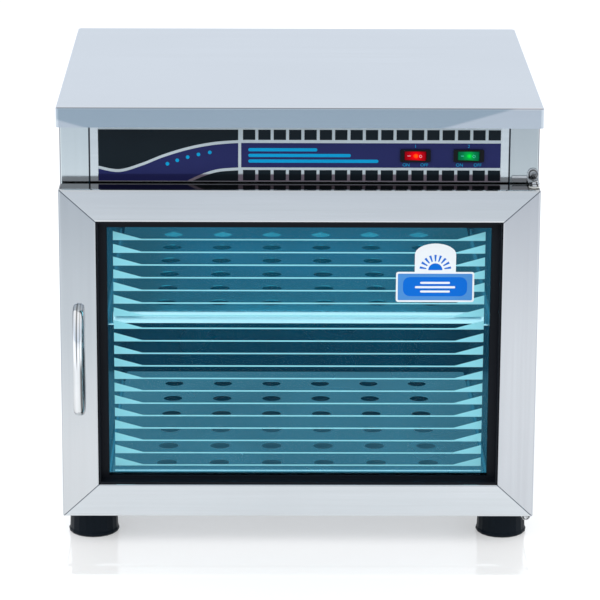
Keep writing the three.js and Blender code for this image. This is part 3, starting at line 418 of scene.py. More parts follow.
def addAmbient(material, colour):
    # painted light: a glow painted on the steel, for the lamp's light that bounces about in the closed
    # chamber
    tree = material.node_tree
    wipes = placeGroup(tree, wipeMarks, Scale=paintedBounceGlow["scale"])
    mixed = mottle(tree, wipes["Tone"], colour, paintedBounceGlow["spread"])
    feed(tree, tree.nodes["Principled BSDF"], {"Emission Color": mixed, "Emission Strength": 1})


plainMetals = {
    # painted light: the chamber's steel is painted dark teal, the colour of the cyan lamp's light on it
    "chamberSteel": {"colour": (0.004, 0.07, 0.11), "rough": (0.16, 0.3), "stretch": uprightGrain,
                     "spread": 0.15},
    "rearSteel": {"colour": (0.50, 0.53, 0.56), "rough": (0.28, 0.4), "wipe": 4, "bump": 0.1},
    "bareSheet": {"colour": (0.55, 0.58, 0.61), "rough": (0.35, 0.5), "wipe": 7, "bump": 0.1},
    "zincPlate": {"colour": (0.42, 0.44, 0.47), "rough": (0.22, 0.4), "stretch": (40, 40, 40), "wipe": 60,
                  "spread": 0.12},
}

materials = {"lidSteel": makeLidSteel(lidTone), "headerSteel": makeHeaderSteel(headerTone)}
for make, looks in ((makeDoorSteel, doorBars), (makePanelSteel, panels), (makeShelfSteel, shelves),
                    (makeMetal, plainMetals)):
    for name, look in looks.items():
        materials[name] = make(name, **look)
for name, colour in paintedBounceGlow["colours"].items():
    addAmbient(materials[name], colour)
print("steel done")


# Plating with painted reflections: the dark and bright bands of a room are painted along its curved sides

plateLook = {
    "tint": (0.95, 0.975, 1),
    "rough": (0.05, 0.12),
    "wipe": 40,
    "stretch": (60, 60, 60),
    "grain": 8,
    "bump": 0.03,
}

# painted reflections: the dark and bright bands each plating is painted with, from its edge-on side to its
# face
plating = {
    "chromePlate": [(0, 0.86), (0.05, 0.8), (0.1, 0.2), (0.16, 0.14), (0.25, 0.7), (0.5, 0.92), (0.75, 0.6),
                    (1, 0.12)],
    "hingePlate": [(0, 0.55), (0.08, 0.6), (0.14, 0.1), (0.3, 0.06), (0.4, 0.6), (0.6, 0.8), (0.85, 0.3),
                   (1, 0.05)],
    "darkScrew": [(0, 0.5), (0.05, 0.16), (0.12, 0.08), (0.3, 0.05), (0.4, 0.5), (0.6, 0.3), (0.8, 0.05),
                  (1, 0.03)],
}

handlePaintedReflections = {
    "rough": (0.06, 0.14),
    "middle": -224.5 * mm,
    "width": 10.8 * mm,
    "blend": (196 * mm, 216 * mm),  # the streaks of the two halves meet between these heights
    "upper": [(0, 0.5), (0.06, 0.2), (0.12, 0.92), (0.3, 0.98), (0.37, 0.3), (0.43, 0.2), (0.5, 0.95),
              (0.64, 0.9), (0.7, 0.4), (0.77, 0.95), (0.9, 0.8), (1, 0.3)],
    "lower": [(0, 0.25), (0.08, 0.6), (0.3, 0.75), (0.6, 0.71), (0.68, 0.62), (0.75, 0.16), (0.83, 0.1),
              (0.9, 0.5), (0.96, 0.55), (1, 0.25)],
}


def plateRamp(tree, value, stops):
    tinted = [(place, tuple(tone * part for part in plateLook["tint"])) for place, tone in stops]
    return colourRamp(tree, value, tinted)


def newPlate(name, rough):
    material, tree, shader = newFinish(name, plateLook["wipe"], rough)[:3]
    lines = placeGroup(tree, rollingGrain, Stretch=plateLook["stretch"], Scale=plateLook["grain"])
    feed(tree, shader, {"Metallic": 1})
    addBump(tree, shader, lines["Height"], plateLook["bump"], grainDepth)
    return material, tree, shader


def makeChrome(name, stops):
    material, tree, shader = newPlate(name, plateLook["rough"])
    facing = tree.nodes.new("ShaderNodeLayerWeight").outputs["Facing"]
    feed(tree, shader, {"Base Color": plateRamp(tree, facing, stops)})
    return material


def makeStreakChrome(name, look):
    # painted reflections: long reflections are painted along the bar, more of them on its upper half
    material, tree, shader = newPlate(name, look["rough"])
    middle, half = look["middle"], look["width"] / 2
    across = spreadOut(tree, alongAxis(tree, "X"), middle - half, middle + half, kind="LINEAR")
    lower, upper = plateRamp(tree, across, look["lower"]), plateRamp(tree, across, look["upper"])
    mixed = mixColours(tree, axisMask(tree, "Z", *look["blend"]), lower, upper)
    feed(tree, shader, {"Base Color": mixed})
    return material


for name, stops in plating.items():
    materials[name] = makeChrome(name, stops)
materials["handleChrome"] = makeStreakChrome("handleChrome", handlePaintedReflections)
print("plating done")


# Rubber, plastic and printing ink

moulded = {
    "footRubber": {"colour": (0.004, 0.008, 0.013), "rough": (0.3, 0.45), "shine": 0.08},
    "gasketRubber": {"colour": (0.006, 0.008, 0.012), "rough": (0.38, 0.5), "speckle": 2200, "bump": 0.08},
    "blackPlastic": {"colour": (0.005, 0.006, 0.008), "rough": (0.24, 0.36), "speckle": 2600, "bump": 0.06},
    "whitePlastic": {"colour": (0.72, 0.73, 0.70), "rough": (0.35, 0.5), "speckle": 2000, "bump": 0.06,
                     "spread": 0.05, "shine": 0.4},
}

skinWipe = 9
skinDepth = 0.3 * mm
inkLook = {"rough": (0.3, 0.4), "speckle": 3200, "bump": 0.02}

inks = {
    "silverFilm": {"colour": (0.56, 0.64, 0.68), "spread": 0.04},
    "charcoalInk": {"colour": (0.005, 0.012, 0.018)},
    "indigoInk": {"colour": (0.019, 0.024, 0.115)},
    "cyanInk": {"colour": (0.0, 0.36, 0.70)},
    "whiteInk": {"colour": (0.80, 0.84, 0.86), "spread": 0.03},
    "roseInk": {"colour": (0.82, 0.42, 0.48), "spread": 0.03},
    "mintInk": {"colour": (0.08, 0.62, 0.48), "spread": 0.03},
    "aquaInk": {"colour": (0.25, 0.65, 0.74), "spread": 0.05, "rough": (0.35, 0.45)},
    "blueInk": {"colour": (0.0, 0.14, 0.62), "spread": 0.05},
    "paleBlueInk": {"colour": (0.07, 0.26, 0.62), "spread": 0.05},
}

# painted shade: the header's film is painted darker along its lower edge, where it mirrors the door's top
filmShade = {
    "band": (391.6 * mm, 389.6 * mm),
    "colours": {
        "silverFilm": (0.28, 0.20, 0.235),
        "charcoalInk": (0.55, 0.50, 0.52),
        "indigoInk": (0.50, 0.45, 0.55),
    },
}


def makeMoulded(name, colour, rough, speckle=1400, bump=0.15, spread=0.12, shine=0.12):
    material, tree, shader = newFinish(name, skinWipe, rough)[:3]
    skin = placeGroup(tree, mouldSpeckle, Scale=speckle)
    mixed = mottle(tree, skin["Tone"], colour, spread)
    feed(tree, shader, {"Base Color": mixed, "Specular IOR Level": shine})
    addBump(tree, shader, skin["Height"], bump, skinDepth)
    return material


for name, look in moulded.items():
    materials[name] = makeMoulded(name, **look)
for name, look in inks.items():
    materials[name] = makeMoulded(name, **{**inkLook, **look})
for name, colour in filmShade["colours"].items():
    band = axisMask(materials[name].node_tree, "Z", *filmShade["band"])
    layOver(materials[name], band, colour, "MULTIPLY")
print("moulded skins and inks done")


# Glass, and what is lit from inside

doorGlass = {
    "tint": (0.80, 0.95, 0.975),
    "spread": 0.03,
    "wipe": 4,
    "rough": (0.0, 0.012),
    "refraction": 1.1,
}

lampTube = {
    "glow": (0.35, 0.85, 1.0),
    "strength": 5,
    "glass": (0.8, 0.9, 0.95),
    "cap": (0.62, 0.64, 0.66),
    "ends": (142 * mm, 153 * mm),  # the glow fades between these places
    "wipe": 30,
    "rough": (0.08, 0.2),
}


def makeGlass(name, look):
    material, tree, shader, wipes = newFinish(name, look["wipe"], look["rough"])
    tint = mottle(tree, wipes, look["tint"], look["spread"])
    feed(tree, shader, {"Base Color": tint, "Transmission Weight": 1, "IOR": look["refraction"]})
    return material


def makeLampTube(name, look):
    # the quartz glows along its length and fades to metal caps at the ends
    material, tree, shader = newFinish(name, look["wipe"], look["rough"])[:3]
    away = doMath(tree, "ABSOLUTE", alongAxis(tree, "X"))
    lit = spreadOut(tree, away, *look["ends"], low=1, high=0, kind="LINEAR")
    feed(tree, shader, {
        "Base Color": mixColours(tree, lit, look["cap"], look["glass"]),
        "Emission Color": mixColours(tree, lit, (0, 0, 0), look["glow"]),
        "Emission Strength": look["strength"],
    })
    return material


def makeGlow(name, body, centre, stops, look):
    # a lit translucent plastic: brightest round one point of the piece, deep at its ends
    material, tree, shader = newFinish(name, look["wipe"], look["rough"])[:3]
    away = addNode(tree, "VectorMath", {0: objectPlace(tree), 1: centre}, operation="DISTANCE")
    share = spreadOut(tree, away.outputs["Value"], 0, look["radius"], kind="LINEAR")
    skin = placeGroup(tree, mouldSpeckle, Scale=look["speckle"])
    feed(tree, shader, {
        "Base Color": mottle(tree, skin["Tone"], body, look["spread"]),
        "Emission Color": colourRamp(tree, share, stops),
        "Emission Strength": look["strength"],
        "Specular IOR Level": look["shine"],
    })
    return material


materials["doorGlass"] = makeGlass("doorGlass", doorGlass)
materials["lampTube"] = makeLampTube("lampTube", lampTube)

# each CAD node and the finish that it wears
finishes = {
    "lidSteel": ["top_lid"],
    "leftBarSteel": ["door_left_stile"],
    "rightBarSteel": ["door_right_stile"],
    "doorSteel": ["door_top_rail", "door_bottom_rail", "door_back_frame"],
    "leftPanelSteel": ["left_side_panel"],
    "rightPanelSteel": ["right_side_panel"],
    "headerSteel": ["control_fascia"],
    "chamberSteel": ["left_liner", "right_liner", "back_liner", "chamber_ceiling", "lamp_reflector"],
    "lowTraySteel": ["lower_shelf"],
    "shelfSteel": ["upper_shelf", "left_upper_rail", "right_upper_rail", "left_lower_rail",
                   "right_lower_rail"],
    "rearSteel": ["back_panel", "bottom_panel"],
    "hingePlate": ["top_hinge_bracket", "bottom_hinge_bracket"],
    "chromePlate": ["top_pivot_screw", "bottom_pivot_screw", "door_handle"],
    "zincPlate": ["top_bracket_screw", "bottom_bracket_screw", "upper_handle_screw", "lower_handle_screw",
                  "front_left_foot_bolt", "front_right_foot_bolt", "rear_left_foot_bolt",
                  "rear_right_foot_bolt"],
    "bareSheet": ["ballast"],
    "footRubber": ["front_left_foot", "front_right_foot", "rear_left_foot", "rear_right_foot", "cord_gland"],
    "gasketRubber": ["glazing_gasket", "door_seal"],
    "blackPlastic": ["power_switch_body", "lamp_switch_body", "door_switch_body", "magnet_catch",
                     "terminal_block"],
    "whitePlastic": ["left_lamp_holder", "right_lamp_holder", "starter_socket", "starter",
                     "door_switch_plunger", "top_hinge_bush", "bottom_hinge_bush"],
    "doorGlass": ["door_glass"],
    "lampTube": ["uv_lamp"],
    "silverFilm": ["fascia_overlay"],
}


def dress(node, material):
    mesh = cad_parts[node].data
    mesh.materials.clear()
    mesh.materials.append(material)


for finish, nodeNames in finishes.items():
    for nodeName in nodeNames:
        dress(nodeName, materials[finish])
print("materials:", len(materials))


# Helpers for modelling

mergeGap = 1e-6  # vertices nearer than this become one


def selectOnly(*pieces):
    bpy.ops.object.select_all(action="DESELECT")
    for piece in pieces:
        piece.select_set(True)
    bpy.context.view_layer.objects.active = pieces[0]


def addPrimitive(add, **values):
    bpy.ops.object.select_all(action="DESELECT")
    add(**values)
    return bpy.context.object


def applyPlace(piece):
    selectOnly(piece)
    bpy.ops.object.transform_apply(location=True, rotation=True, scale=True)


def startEdit(piece):
    selectOnly(piece)
    bpy.ops.object.mode_set(mode="EDIT")
    bpy.ops.mesh.select_all(action="SELECT")


def endEdit():
    bpy.ops.object.mode_set(mode="OBJECT")


def pick(piece, kind, test):
    # selects the vertices or faces whose place and normal pass the test
    mesh = bmesh.from_edit_mesh(piece.data)
    bpy.ops.mesh.select_mode(type=kind)
    bpy.ops.mesh.select_all(action="DESELECT")
    for part in mesh.verts if kind == "VERT" else mesh.faces:
        place = part.co if kind == "VERT" else part.calc_center_median()
        part.select_set(test(place, part.normal))
    mesh.select_flush_mode()
    bmesh.update_edit_mesh(piece.data)


def tidyMesh(piece, smoothAngle=0):
    startEdit(piece)
    bpy.ops.mesh.remove_doubles(threshold=mergeGap)
    bpy.ops.mesh.normals_make_consistent(inside=False)
    endEdit()
    if smoothAngle:
        bpy.ops.object.shade_smooth_by_angle(angle=math.radians(smoothAngle))


def settle(piece, name, material, body):
    # puts the place into the mesh, then hands the piece over to its body
    applyPlace(piece)
    piece.name = name
    piece.data.name = name
    piece.data.materials.clear()
    piece.data.materials.append(materials[material])
    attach(piece, body)


def addBlock(low, high):
    # a block between two corners, ready to be shaped
    middle = [(a + b) / 2 for a, b in zip(low, high)]
    block = addPrimitive(bpy.ops.mesh.primitive_cube_add, size=1, location=middle)
    block.scale = [b - a for a, b in zip(low, high)]
    applyPlace(block)
    return block


def bevelBlock(low, high, offset, segments):
    block = addBlock(low, high)
    startEdit(block)
    bpy.ops.mesh.bevel(offset=offset, segments=segments)
    endEdit()
    return block


def copyOf(piece, place=(0, 0, 0)):
    twin = piece.copy()
    twin.data = piece.data.copy()
    bpy.context.collection.objects.link(twin)
    twin.location = place
    applyPlace(twin)
    return twin


def joinAll(pieces):
    selectOnly(*pieces)
    if len(pieces) > 1:
        bpy.ops.object.join()
    return pieces[0]


def applyModifier(piece, kind, **values):
    selectOnly(piece)
    modifier = piece.modifiers.new(kind.lower(), kind)
    for label, value in values.items():
        setattr(modifier, label, value)
    bpy.ops.object.modifier_apply(modifier=modifier.name)


def cutWith(piece, cutter):
    applyModifier(piece, "BOOLEAN", operation="DIFFERENCE", object=cutter, solver="EXACT")
    bpy.data.objects.remove(cutter)


def standUp(shape, x, front, z):
    # turned to face the front, once it is a mesh
    selectOnly(shape)
    bpy.ops.object.convert(target="MESH")
    shape = bpy.context.object
    shape.rotation_euler = (math.pi / 2, 0, 0)
    shape.location = (x, front, z)
    applyPlace(shape)
    tidyMesh(shape)
    return shape


def flatPrint(outline, front, thickness):
    # a printed shape from its (x, z) outline, standing on a plane that faces the front
    curve = bpy.data.curves.new("print", "CURVE")
    curve.dimensions = "2D"
    curve.fill_mode = "BOTH"
    curve.extrude = thickness / 2
    spline = curve.splines.new("POLY")
    spline.points.add(len(outline) - 1)
    for point, (x, z) in zip(spline.points, outline):
        point.co = (x, z, 0, 1)
    spline.use_cyclic_u = True
    shape = bpy.data.objects.new("print", curve)
    bpy.context.collection.objects.link(shape)
    return standUp(shape, 0, front - thickness / 2, 0)


def arcOutline(x, z, wide, tall, sweep, steps, start=0):
    # points from the start round by the sweep, both in degrees
    turns = [math.radians(start + sweep * step / steps) for step in range(steps + 1)]
    return [(x + wide * math.cos(turn), z + tall * math.sin(turn)) for turn in turns]


def roundedOutline(left, right, low, high, radius, steps=5):
    left, right, low, high = left + radius, right - radius, low + radius, high - radius
    points = []
    for x, z, start in ((right, low, -90), (right, high, 0), (left, high, 90), (left, low, 180)):
        points += arcOutline(x, z, radius, radius, 90, steps, start)
    return points


def addPrint(name, ink, body, front, thickness, outlines):
    shapes = [flatPrint(outline, front, thickness) for outline in outlines]
    settle(joinAll(shapes), name, ink, body)


# Lines printed on the door's glass

glassLines = {
    "count": 19,
    "lowest": 82.2 * mm,
    "pitch": 13.455 * mm,
    "halfLength": 189.6 * mm,
    "thickness": 1.4 * mm,
    "wedgeLength": 29 * mm,
    "wedgeHeight": 9.5 * mm,
    "film": 0.12 * mm,
}


def addGlassLines(plan):
    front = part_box("door_glass")[0].y
    low = (-plan["halfLength"], front - plan["film"], plan["lowest"])
    high = (plan["halfLength"], front + plan["film"] / 4, plan["lowest"] + plan["thickness"])
    line = addBlock(low, high)
    startEdit(line)
    inner = plan["halfLength"] - plan["wedgeLength"]
    for x in (-inner, inner):
        bpy.ops.mesh.select_all(action="SELECT")
        bpy.ops.mesh.bisect(plane_co=(x, 0, 0), plane_no=(1, 0, 0))
    pick(line, "VERT", lambda place, normal: abs(place.x) > inner + mm and place.z > low[2] + mm)
    bpy.ops.transform.translate(value=(0, 0, plan["wedgeHeight"] - plan["thickness"]))
    endEdit()
    places = [(0, 0, plan["pitch"] * row) for row in range(1, plan["count"])]
    lines = joinAll([line, *[copyOf(line, place) for place in places]])
    settle(lines, "glassLines", "aquaInk", "door")


addGlassLines(glassLines)
print("glass lines done")


# Print on the header's film

switchBodies = ("power_switch_body", "lamp_switch_body")

headerPrint = {
    "depth": 0.05 * mm,
    "sink": 0.01 * mm,
    "inset": 0.3 * mm,
    "divider": -60.7 * mm,
    "dividerWidth": 3 * mm,
    "squareWidth": 12.5 * mm,
    "squarePitch": 15.55 * mm,
    "squareBevel": 0.015 * mm,
    "squares": 17,
    "firstSquare": -57.4 * mm,
    "bandLow": 397.6 * mm,
    "bandHigh": 423.1 * mm,
    "topRow": (426.3 * mm, 436.9 * mm),
    "bottomRow": (384.0 * mm, 395.0 * mm),
    "lineWidth": 3 * mm,
    "upperCurve": [(-204, 397.5), (-183, 394.0), (-160, 400.6), (-138, 409.6), (-112, 417.6), (-86, 422.6),
                   (-60.7, 424.6)],
    "lowerCurve": [(-112, 383.2), (-98, 389.6), (-82, 394.4), (-60.7, 396.1)],
    "windowInset": 1.2 * mm,
    "windowFront": 5 * mm,
    "windowBack": 8 * mm,
}


def smoothCurve(points, steps=6):
    # a curve through the given points
    ends = [points[0], *points, points[-1]]
    curve = []
    for i in range(1, len(ends) - 2):
        a, b, c, d = ends[i - 1:i + 3]
        for step in range(steps):
            t = step / steps
            curve.append(tuple(
                0.5 * (2 * q + (r - p) * t + (2 * p - 5 * q + 4 * r - s) * t * t
                       + (3 * q - p - 3 * r + s) * t ** 3)
                for p, q, r, s in zip(a, b, c, d)
            ))
    return [*curve, points[-1]]


def cutWindows(piece, plan):
    # the band is cut where the switches stand
    inset = plan["windowInset"]
    for node in switchBodies:
        low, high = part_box(node)
        cutter = addBlock(
            (low.x + inset, low.y - plan["windowFront"], low.z + inset),
            (high.x - inset, low.y + plan["windowBack"], high.z - inset),
        )
        cutWith(piece, cutter)


def addHeaderPrint(plan):
    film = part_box("fascia_overlay")
    front, depth, inset = film[0].y + plan["sink"], plan["depth"], plan["inset"]
    half = plan["lineWidth"] / 2
    left, right = film[0].x + inset, film[1].x - inset
    base, top = film[0].z + inset, plan["topRow"][1]
    upper = [(max(x * mm, left), z * mm) for x, z in smoothCurve(plan["upperCurve"])]
    lower = [(x * mm, z * mm) for x, z in smoothCurve(plan["lowerCurve"])]
    edge = plan["divider"] - plan["dividerWidth"] / 2

    above = [(x, z + half) for x, z in upper if x < edge]
    field = [*above, (edge, above[-1][1]), (edge, top), (left, top)]
    below = [(x, max(z - half, base)) for x, z in lower if x < edge]
    corner = [*reversed(below), (below[0][0], base), (edge, base), (edge, below[-1][1])]
    under = [(x, z - half) for x, z in upper if x < edge]
    over = [(x, z + half) for x, z in lower if x < edge]
    wave = [(left, base), (over[0][0] - half, base), *over, (edge, over[-1][1]), (edge, under[-1][1]),
            *reversed(under)]

    addPrint("headerDarkFields", "charcoalInk", "cabinet", front, depth, [field, corner])
    start, low, high = plan["divider"] + plan["dividerWidth"] / 2, plan["bandLow"], plan["bandHigh"]
    band = [(start, low), (right, low), (right, high), (start, high)]
    bandPiece = joinAll([flatPrint(wave, front, depth), flatPrint(band, front, depth)])
    cutWindows(bandPiece, plan)
    settle(bandPiece, "headerBand", "indigoInk", "cabinet")

    squares = []
    first = plan["firstSquare"]
    for rowLow, rowHigh in (plan["topRow"], plan["bottomRow"]):
        ends = (first, front - depth, rowLow), (first + plan["squareWidth"], front, rowHigh)
        square = bevelBlock(*ends, plan["squareBevel"], 1)
        steps = range(1, plan["squares"])
        squares += [square, *[copyOf(square, (plan["squarePitch"] * step, 0, 0)) for step in steps]]
    settle(joinAll(squares), "headerSquares", "charcoalInk", "cabinet")


addHeaderPrint(headerPrint)

markLift = 0.03 * mm  # marks and words stand this far before the film
markDepth = 0.05 * mm

bandMarks = {
    "left": -52 * mm,
    "lengths": (132 * mm, 104 * mm, 70 * mm),
    "low": 402.6 * mm,
    "pitch": 5.9 * mm,
    "height": 3.4 * mm,
    "roundShare": 0.49,
    "dots": [(-134, 401.2), (-124, 404.9), (-113.5, 408.2), (-102.5, 411.0), (-91, 413.2)],
    "dotRadius": 1.9 * mm,
    "dotSides": 20,
}


def addBandMarks(plan):
    # three bars of falling length, and a row of dots under the curve
    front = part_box("fascia_overlay")[0].y - markLift
    left, height, radius = plan["left"], plan["height"], plan["dotRadius"]
    outlines = []
    for row, length in enumerate(plan["lengths"]):
        low = plan["low"] + row * plan["pitch"]
        outlines.append(roundedOutline(left, left + length, low, low + height, height * plan["roundShare"]))
    for x, z in plan["dots"]:
        outlines.append(arcOutline(x * mm, z * mm, radius, radius, 360, plan["dotSides"])[:-1])
    addPrint("bandMarks", "cyanInk", "cabinet", front, markDepth, outlines)


addBandMarks(bandMarks)

switchWords = {
    "size": 4.6 * mm,
    "drop": 11.4 * mm,
    "rise": 8.0 * mm,
    "reach": 9.2 * mm,
}


def addWord(word, x, z, front, size):
    text = addPrimitive(bpy.ops.object.text_add)
    text.data.body = word
    text.data.size = size
    text.data.align_x = "CENTER"
    text.data.extrude = markDepth / 2
    return standUp(text, x, front - markDepth / 2, z)


def addSwitchWords(plan):
    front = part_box("fascia_overlay")[0].y - markLift
    drop, rise, reach = plan["drop"], plan["rise"], plan["reach"]
    words = []
    for number, node in enumerate(switchBodies, 1):
        low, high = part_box(node)
        middle, level = (low.x + high.x) / 2, (low.z + high.z) / 2
        for word, aside, up in (("ON", -reach, -drop), ("OFF", reach, -drop), (str(number), 0, rise)):
            words.append(addWord(word, middle + aside, level + up, front, plan["size"]))
    settle(joinAll(words), "switchWords", "cyanInk", "cabinet")


addSwitchWords(switchWords)
print("header print done")


# Marks and glow of the two rockers

rockerMarks = {
    "tilt": -8,
    "faceSlope": 7.38,
    "pivotDepth": 3 * mm,
    "barReach": 6.0 * mm,
    "barLength": 3.1 * mm,
    "barHeight": 0.7 * mm,
    "barBevel": 0.05 * mm,
    "ringReach": 5.8 * mm,
    "ringRadius": 1.5 * mm,
    "ringLine": 0.45 * mm,
    "ringSides": 28,
    "dip": 3.2 * mm,
    "thickness": 0.16 * mm,
}

rockerGlow = {
    "wipe": 60,
    "rough": (0.18, 0.3),
    "speckle": 900,
    "spread": 0.15,
    "shine": 0.04,
    "radius": 12 * mm,
    "strength": 1.5,
}

rockers = {
    "power_rocker": {
        "glow": "redGlow",
        "ink": "roseInk",
        "body": (0.13, 0.0005, 0.002),
        "stops": [(0, (1.0, 0.24, 0.0)), (0.16, (1.0, 0.12, 0.0)), (0.3, (0.52, 0.0, 0.002)),
                  (0.6, (0.24, 0.0, 0.003)), (1, (0.07, 0.0, 0.002))],
    },
    "lamp_rocker": {
        "glow": "greenGlow",
        "ink": "mintInk",
        "body": (0.001, 0.06, 0.022),
        "stops": [(0, (0.0, 0.85, 0.05)), (0.14, (0.0, 0.8, 0.02)), (0.3, (0.0, 0.22, 0.03)),
                  (0.6, (0.0, 0.09, 0.03)), (1, (0.0, 0.04, 0.016))],
    },
}


def addRing(plan):
    ring = addPrimitive(bpy.ops.mesh.primitive_circle_add, vertices=plan["ringSides"],
                        radius=plan["ringRadius"], fill_type="NGON", rotation=(math.pi / 2, 0, 0))
    applyPlace(ring)
    startEdit(ring)
    bpy.ops.mesh.inset(thickness=plan["ringLine"], depth=0)
    bpy.ops.mesh.delete(type="FACE")
    endEdit()
    applyModifier(ring, "SOLIDIFY", thickness=2 * plan["thickness"], offset=0)
    return ring


def addRockerMarks(body, ink, plan):
    # a bar and a ring on the two slopes of the rocker's face; gives the middle of that face
    low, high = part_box(body)
    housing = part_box(body.replace("rocker", "switch_body"))
    middle, level = (housing[0].x + housing[1].x) / 2, (low.z + high.z) / 2
    pivot = housing[0].y + plan["pivotDepth"]
    tilt, slope = math.radians(plan["tilt"]), math.radians(plan["faceSlope"])
    corner = (plan["barLength"] / 2, plan["thickness"], plan["barHeight"] / 2)
    bar = bevelBlock([-part for part in corner], corner, plan["barBevel"], 2)
    marks = [bar, addRing(plan)]
    for mark, side, reach in zip(marks, (-1, 1), (plan["barReach"], plan["ringReach"])):
        x, y = side * reach, -plan["dip"] - reach * math.tan(slope)
        turned = Vector((x * math.cos(tilt) - y * math.sin(tilt), x * math.sin(tilt) + y * math.cos(tilt)))
        mark.rotation_euler = (0, 0, tilt - side * slope)
        mark.location = (middle + turned.x, pivot + turned.y, level)
        applyPlace(mark)
    tidyMesh(joinAll(marks))
    settle(marks[0], body.replace("_rocker", "RockerMarks"), ink, body)
    return Vector((middle, low.y, level))


for rocker, look in rockers.items():
    centre = addRockerMarks(rocker, look["ink"], rockerMarks)
    glow = makeGlow(look["glow"], look["body"], centre, look["stops"], rockerGlow)
    materials[look["glow"]] = glow
    dress(rocker, glow)
print("rockers done")


# Door handle: a plated bow drawn along its route

handle = {
    "sides": 28,
    "bendSteps": 14,
    "straightSteps": 6,
    "endWidth": 11.0 * mm,
    "waist": 9.4 * mm,
    "depth": 7.0 * mm,
    "span": 111 * mm,
    "shoulder": 30 * mm,
    "foot": 0.3 * mm,
    "smoothAngle": 40,
}


def bowRoute(plan, front, gripY, shoulderY, middle):
    rise = plan["span"] / 2
    join = rise - plan["shoulder"]
    route = []
    for step in range(plan["bendSteps"] + 1):
        t = step / plan["bendSteps"]
        a, b, c = (1 - t) ** 2, 2 * t * (1 - t), t * t
        route.append((a * front + b * shoulderY + c * gripY, a * -rise + b * -rise + c * -join))
    for step in range(1, plan["straightSteps"]):
        route.append((gripY, -join + 2 * join * step / plan["straightSteps"]))
    route += [(y, -z) for y, z in reversed(route[:plan["bendSteps"] + 1])]
    return [(y, middle + z) for y, z in route]


def addHandleBow(plan):
    low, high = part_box("door_handle")
    x, middle = (low.x + high.x) / 2, (low.z + high.z) / 2
    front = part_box("door_left_stile")[0].y - plan["foot"]
    gripY = low.y + plan["depth"] / 2
    route = bowRoute(plan, front, gripY, gripY + plan["depth"] / 2, middle)
    rise = plan["span"] / 2

    def widthAt(z):
        share = min(1, abs(z - middle) / rise)
        return plan["waist"] + (plan["endWidth"] - plan["waist"]) * share * share

    def angleAt(i):
        a, b = route[max(i - 1, 0)], route[min(i + 1, len(route) - 1)]
        return math.atan2(b[1] - a[1], b[0] - a[0])

    bow = addPrimitive(bpy.ops.mesh.primitive_circle_add, vertices=plan["sides"], radius=0.5,
                       fill_type="NGON", location=(x, *route[0]), rotation=(math.pi / 2, 0, 0))
    bow.scale = (widthAt(route[0][1]), plan["depth"], 1)
    applyPlace(bow)
    startEdit(bow)
    heading = math.pi  # the first ring faces the front
    for i in range(1, len(route)):
        (y0, z0), (y1, z1) = route[i - 1], route[i]
        bpy.ops.mesh.extrude_region_move(TRANSFORM_OT_translate={"value": (0, y1 - y0, z1 - z0)})
        angle = angleAt(i)
        turn = (angle - heading + math.pi) % (2 * math.pi) - math.pi
        if abs(turn) > 1e-7:
            bpy.ops.transform.rotate(value=-turn, orient_axis="X", center_override=(x, y1, z1))
        grow = widthAt(z1) / widthAt(z0)
        bpy.ops.transform.resize(value=(grow, 1, 1), center_override=(x, y1, z1))
        heading = angle
    endEdit()
    tidyMesh(bow, plan["smoothAngle"])
    settle(bow, "handleBow", "handleChrome", "door")
    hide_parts("door_handle")


addHandleBow(handle)
print("handle done")


# Cross-head screws: the hinge's screws and those of the back panel

crossScrew = {
    "sides": 28,
    "domeShare": 0.62,
    "domeSteps": 5,
    "shankShare": 0.42,
    "crossShare": 1.15,
    "slotShare": 0.17,
    "slotDepthShare": 0.62,
    "slotTaper": 0.72,
    "facing": 0.9,  # how straight a face has to look up or down to be picked
    "smoothAngle": 35,
}


def makeCrossScrew(radius, height, shank, plan):
    # head above z = 0, shank below it, with a cross cut into the head
    screwPiece = addPrimitive(bpy.ops.mesh.primitive_cylinder_add, vertices=plan["sides"], radius=radius,
                              depth=height, location=(0, 0, height / 2))
    applyPlace(screwPiece)
    startEdit(screwPiece)
    pick(screwPiece, "FACE", lambda place, normal: normal.z > plan["facing"])
    bpy.ops.mesh.bevel(offset=height * plan["domeShare"], segments=plan["domeSteps"], affect="EDGES")
    pick(screwPiece, "FACE", lambda place, normal: normal.z < -plan["facing"])
    bpy.ops.mesh.inset(thickness=radius * (1 - plan["shankShare"]), depth=0)
    bpy.ops.mesh.extrude_region_move(TRANSFORM_OT_translate={"value": (0, 0, -shank)})
    endEdit()
    arm, slot = radius * plan["crossShare"] / 2, radius * plan["slotShare"]
    bottom = height * (1 - plan["slotDepthShare"])
    for sizeX, sizeY in ((arm, slot), (slot, arm)):
        cutter = addBlock((-sizeX, -sizeY, bottom), (sizeX, sizeY, height * 2))
        startEdit(cutter)
        pick(cutter, "FACE", lambda place, normal: normal.z < -plan["facing"])
        taper = plan["slotTaper"]
        bpy.ops.transform.resize(value=(taper, taper, 1), center_override=(0, 0, bottom))
        endEdit()
        cutWith(screwPiece, cutter)
    tidyMesh(screwPiece, plan["smoothAngle"])
    return screwPiece


def standScrew(screw, place, turn, spin):
    # spun about its own axis, then turned and put in its place
    screw.rotation_euler = (0, 0, spin)
    applyPlace(screw)
    screw.rotation_euler = turn
    screw.location = place
    applyPlace(screw)
    return screw


forward = (math.pi / 2, 0, 0)
backward = (-math.pi / 2, 0, 0)
upward = (0, 0, 0)
downward = (math.pi, 0, 0)

hingeScrews = {
    "fixingHeight": 2.6 * mm,
    "fixingShank": 9 * mm,
    "fixingSpin": math.radians(20),
    "pivotHeight": 2.8 * mm,
    "pivotSpin": math.radians(-15),
}


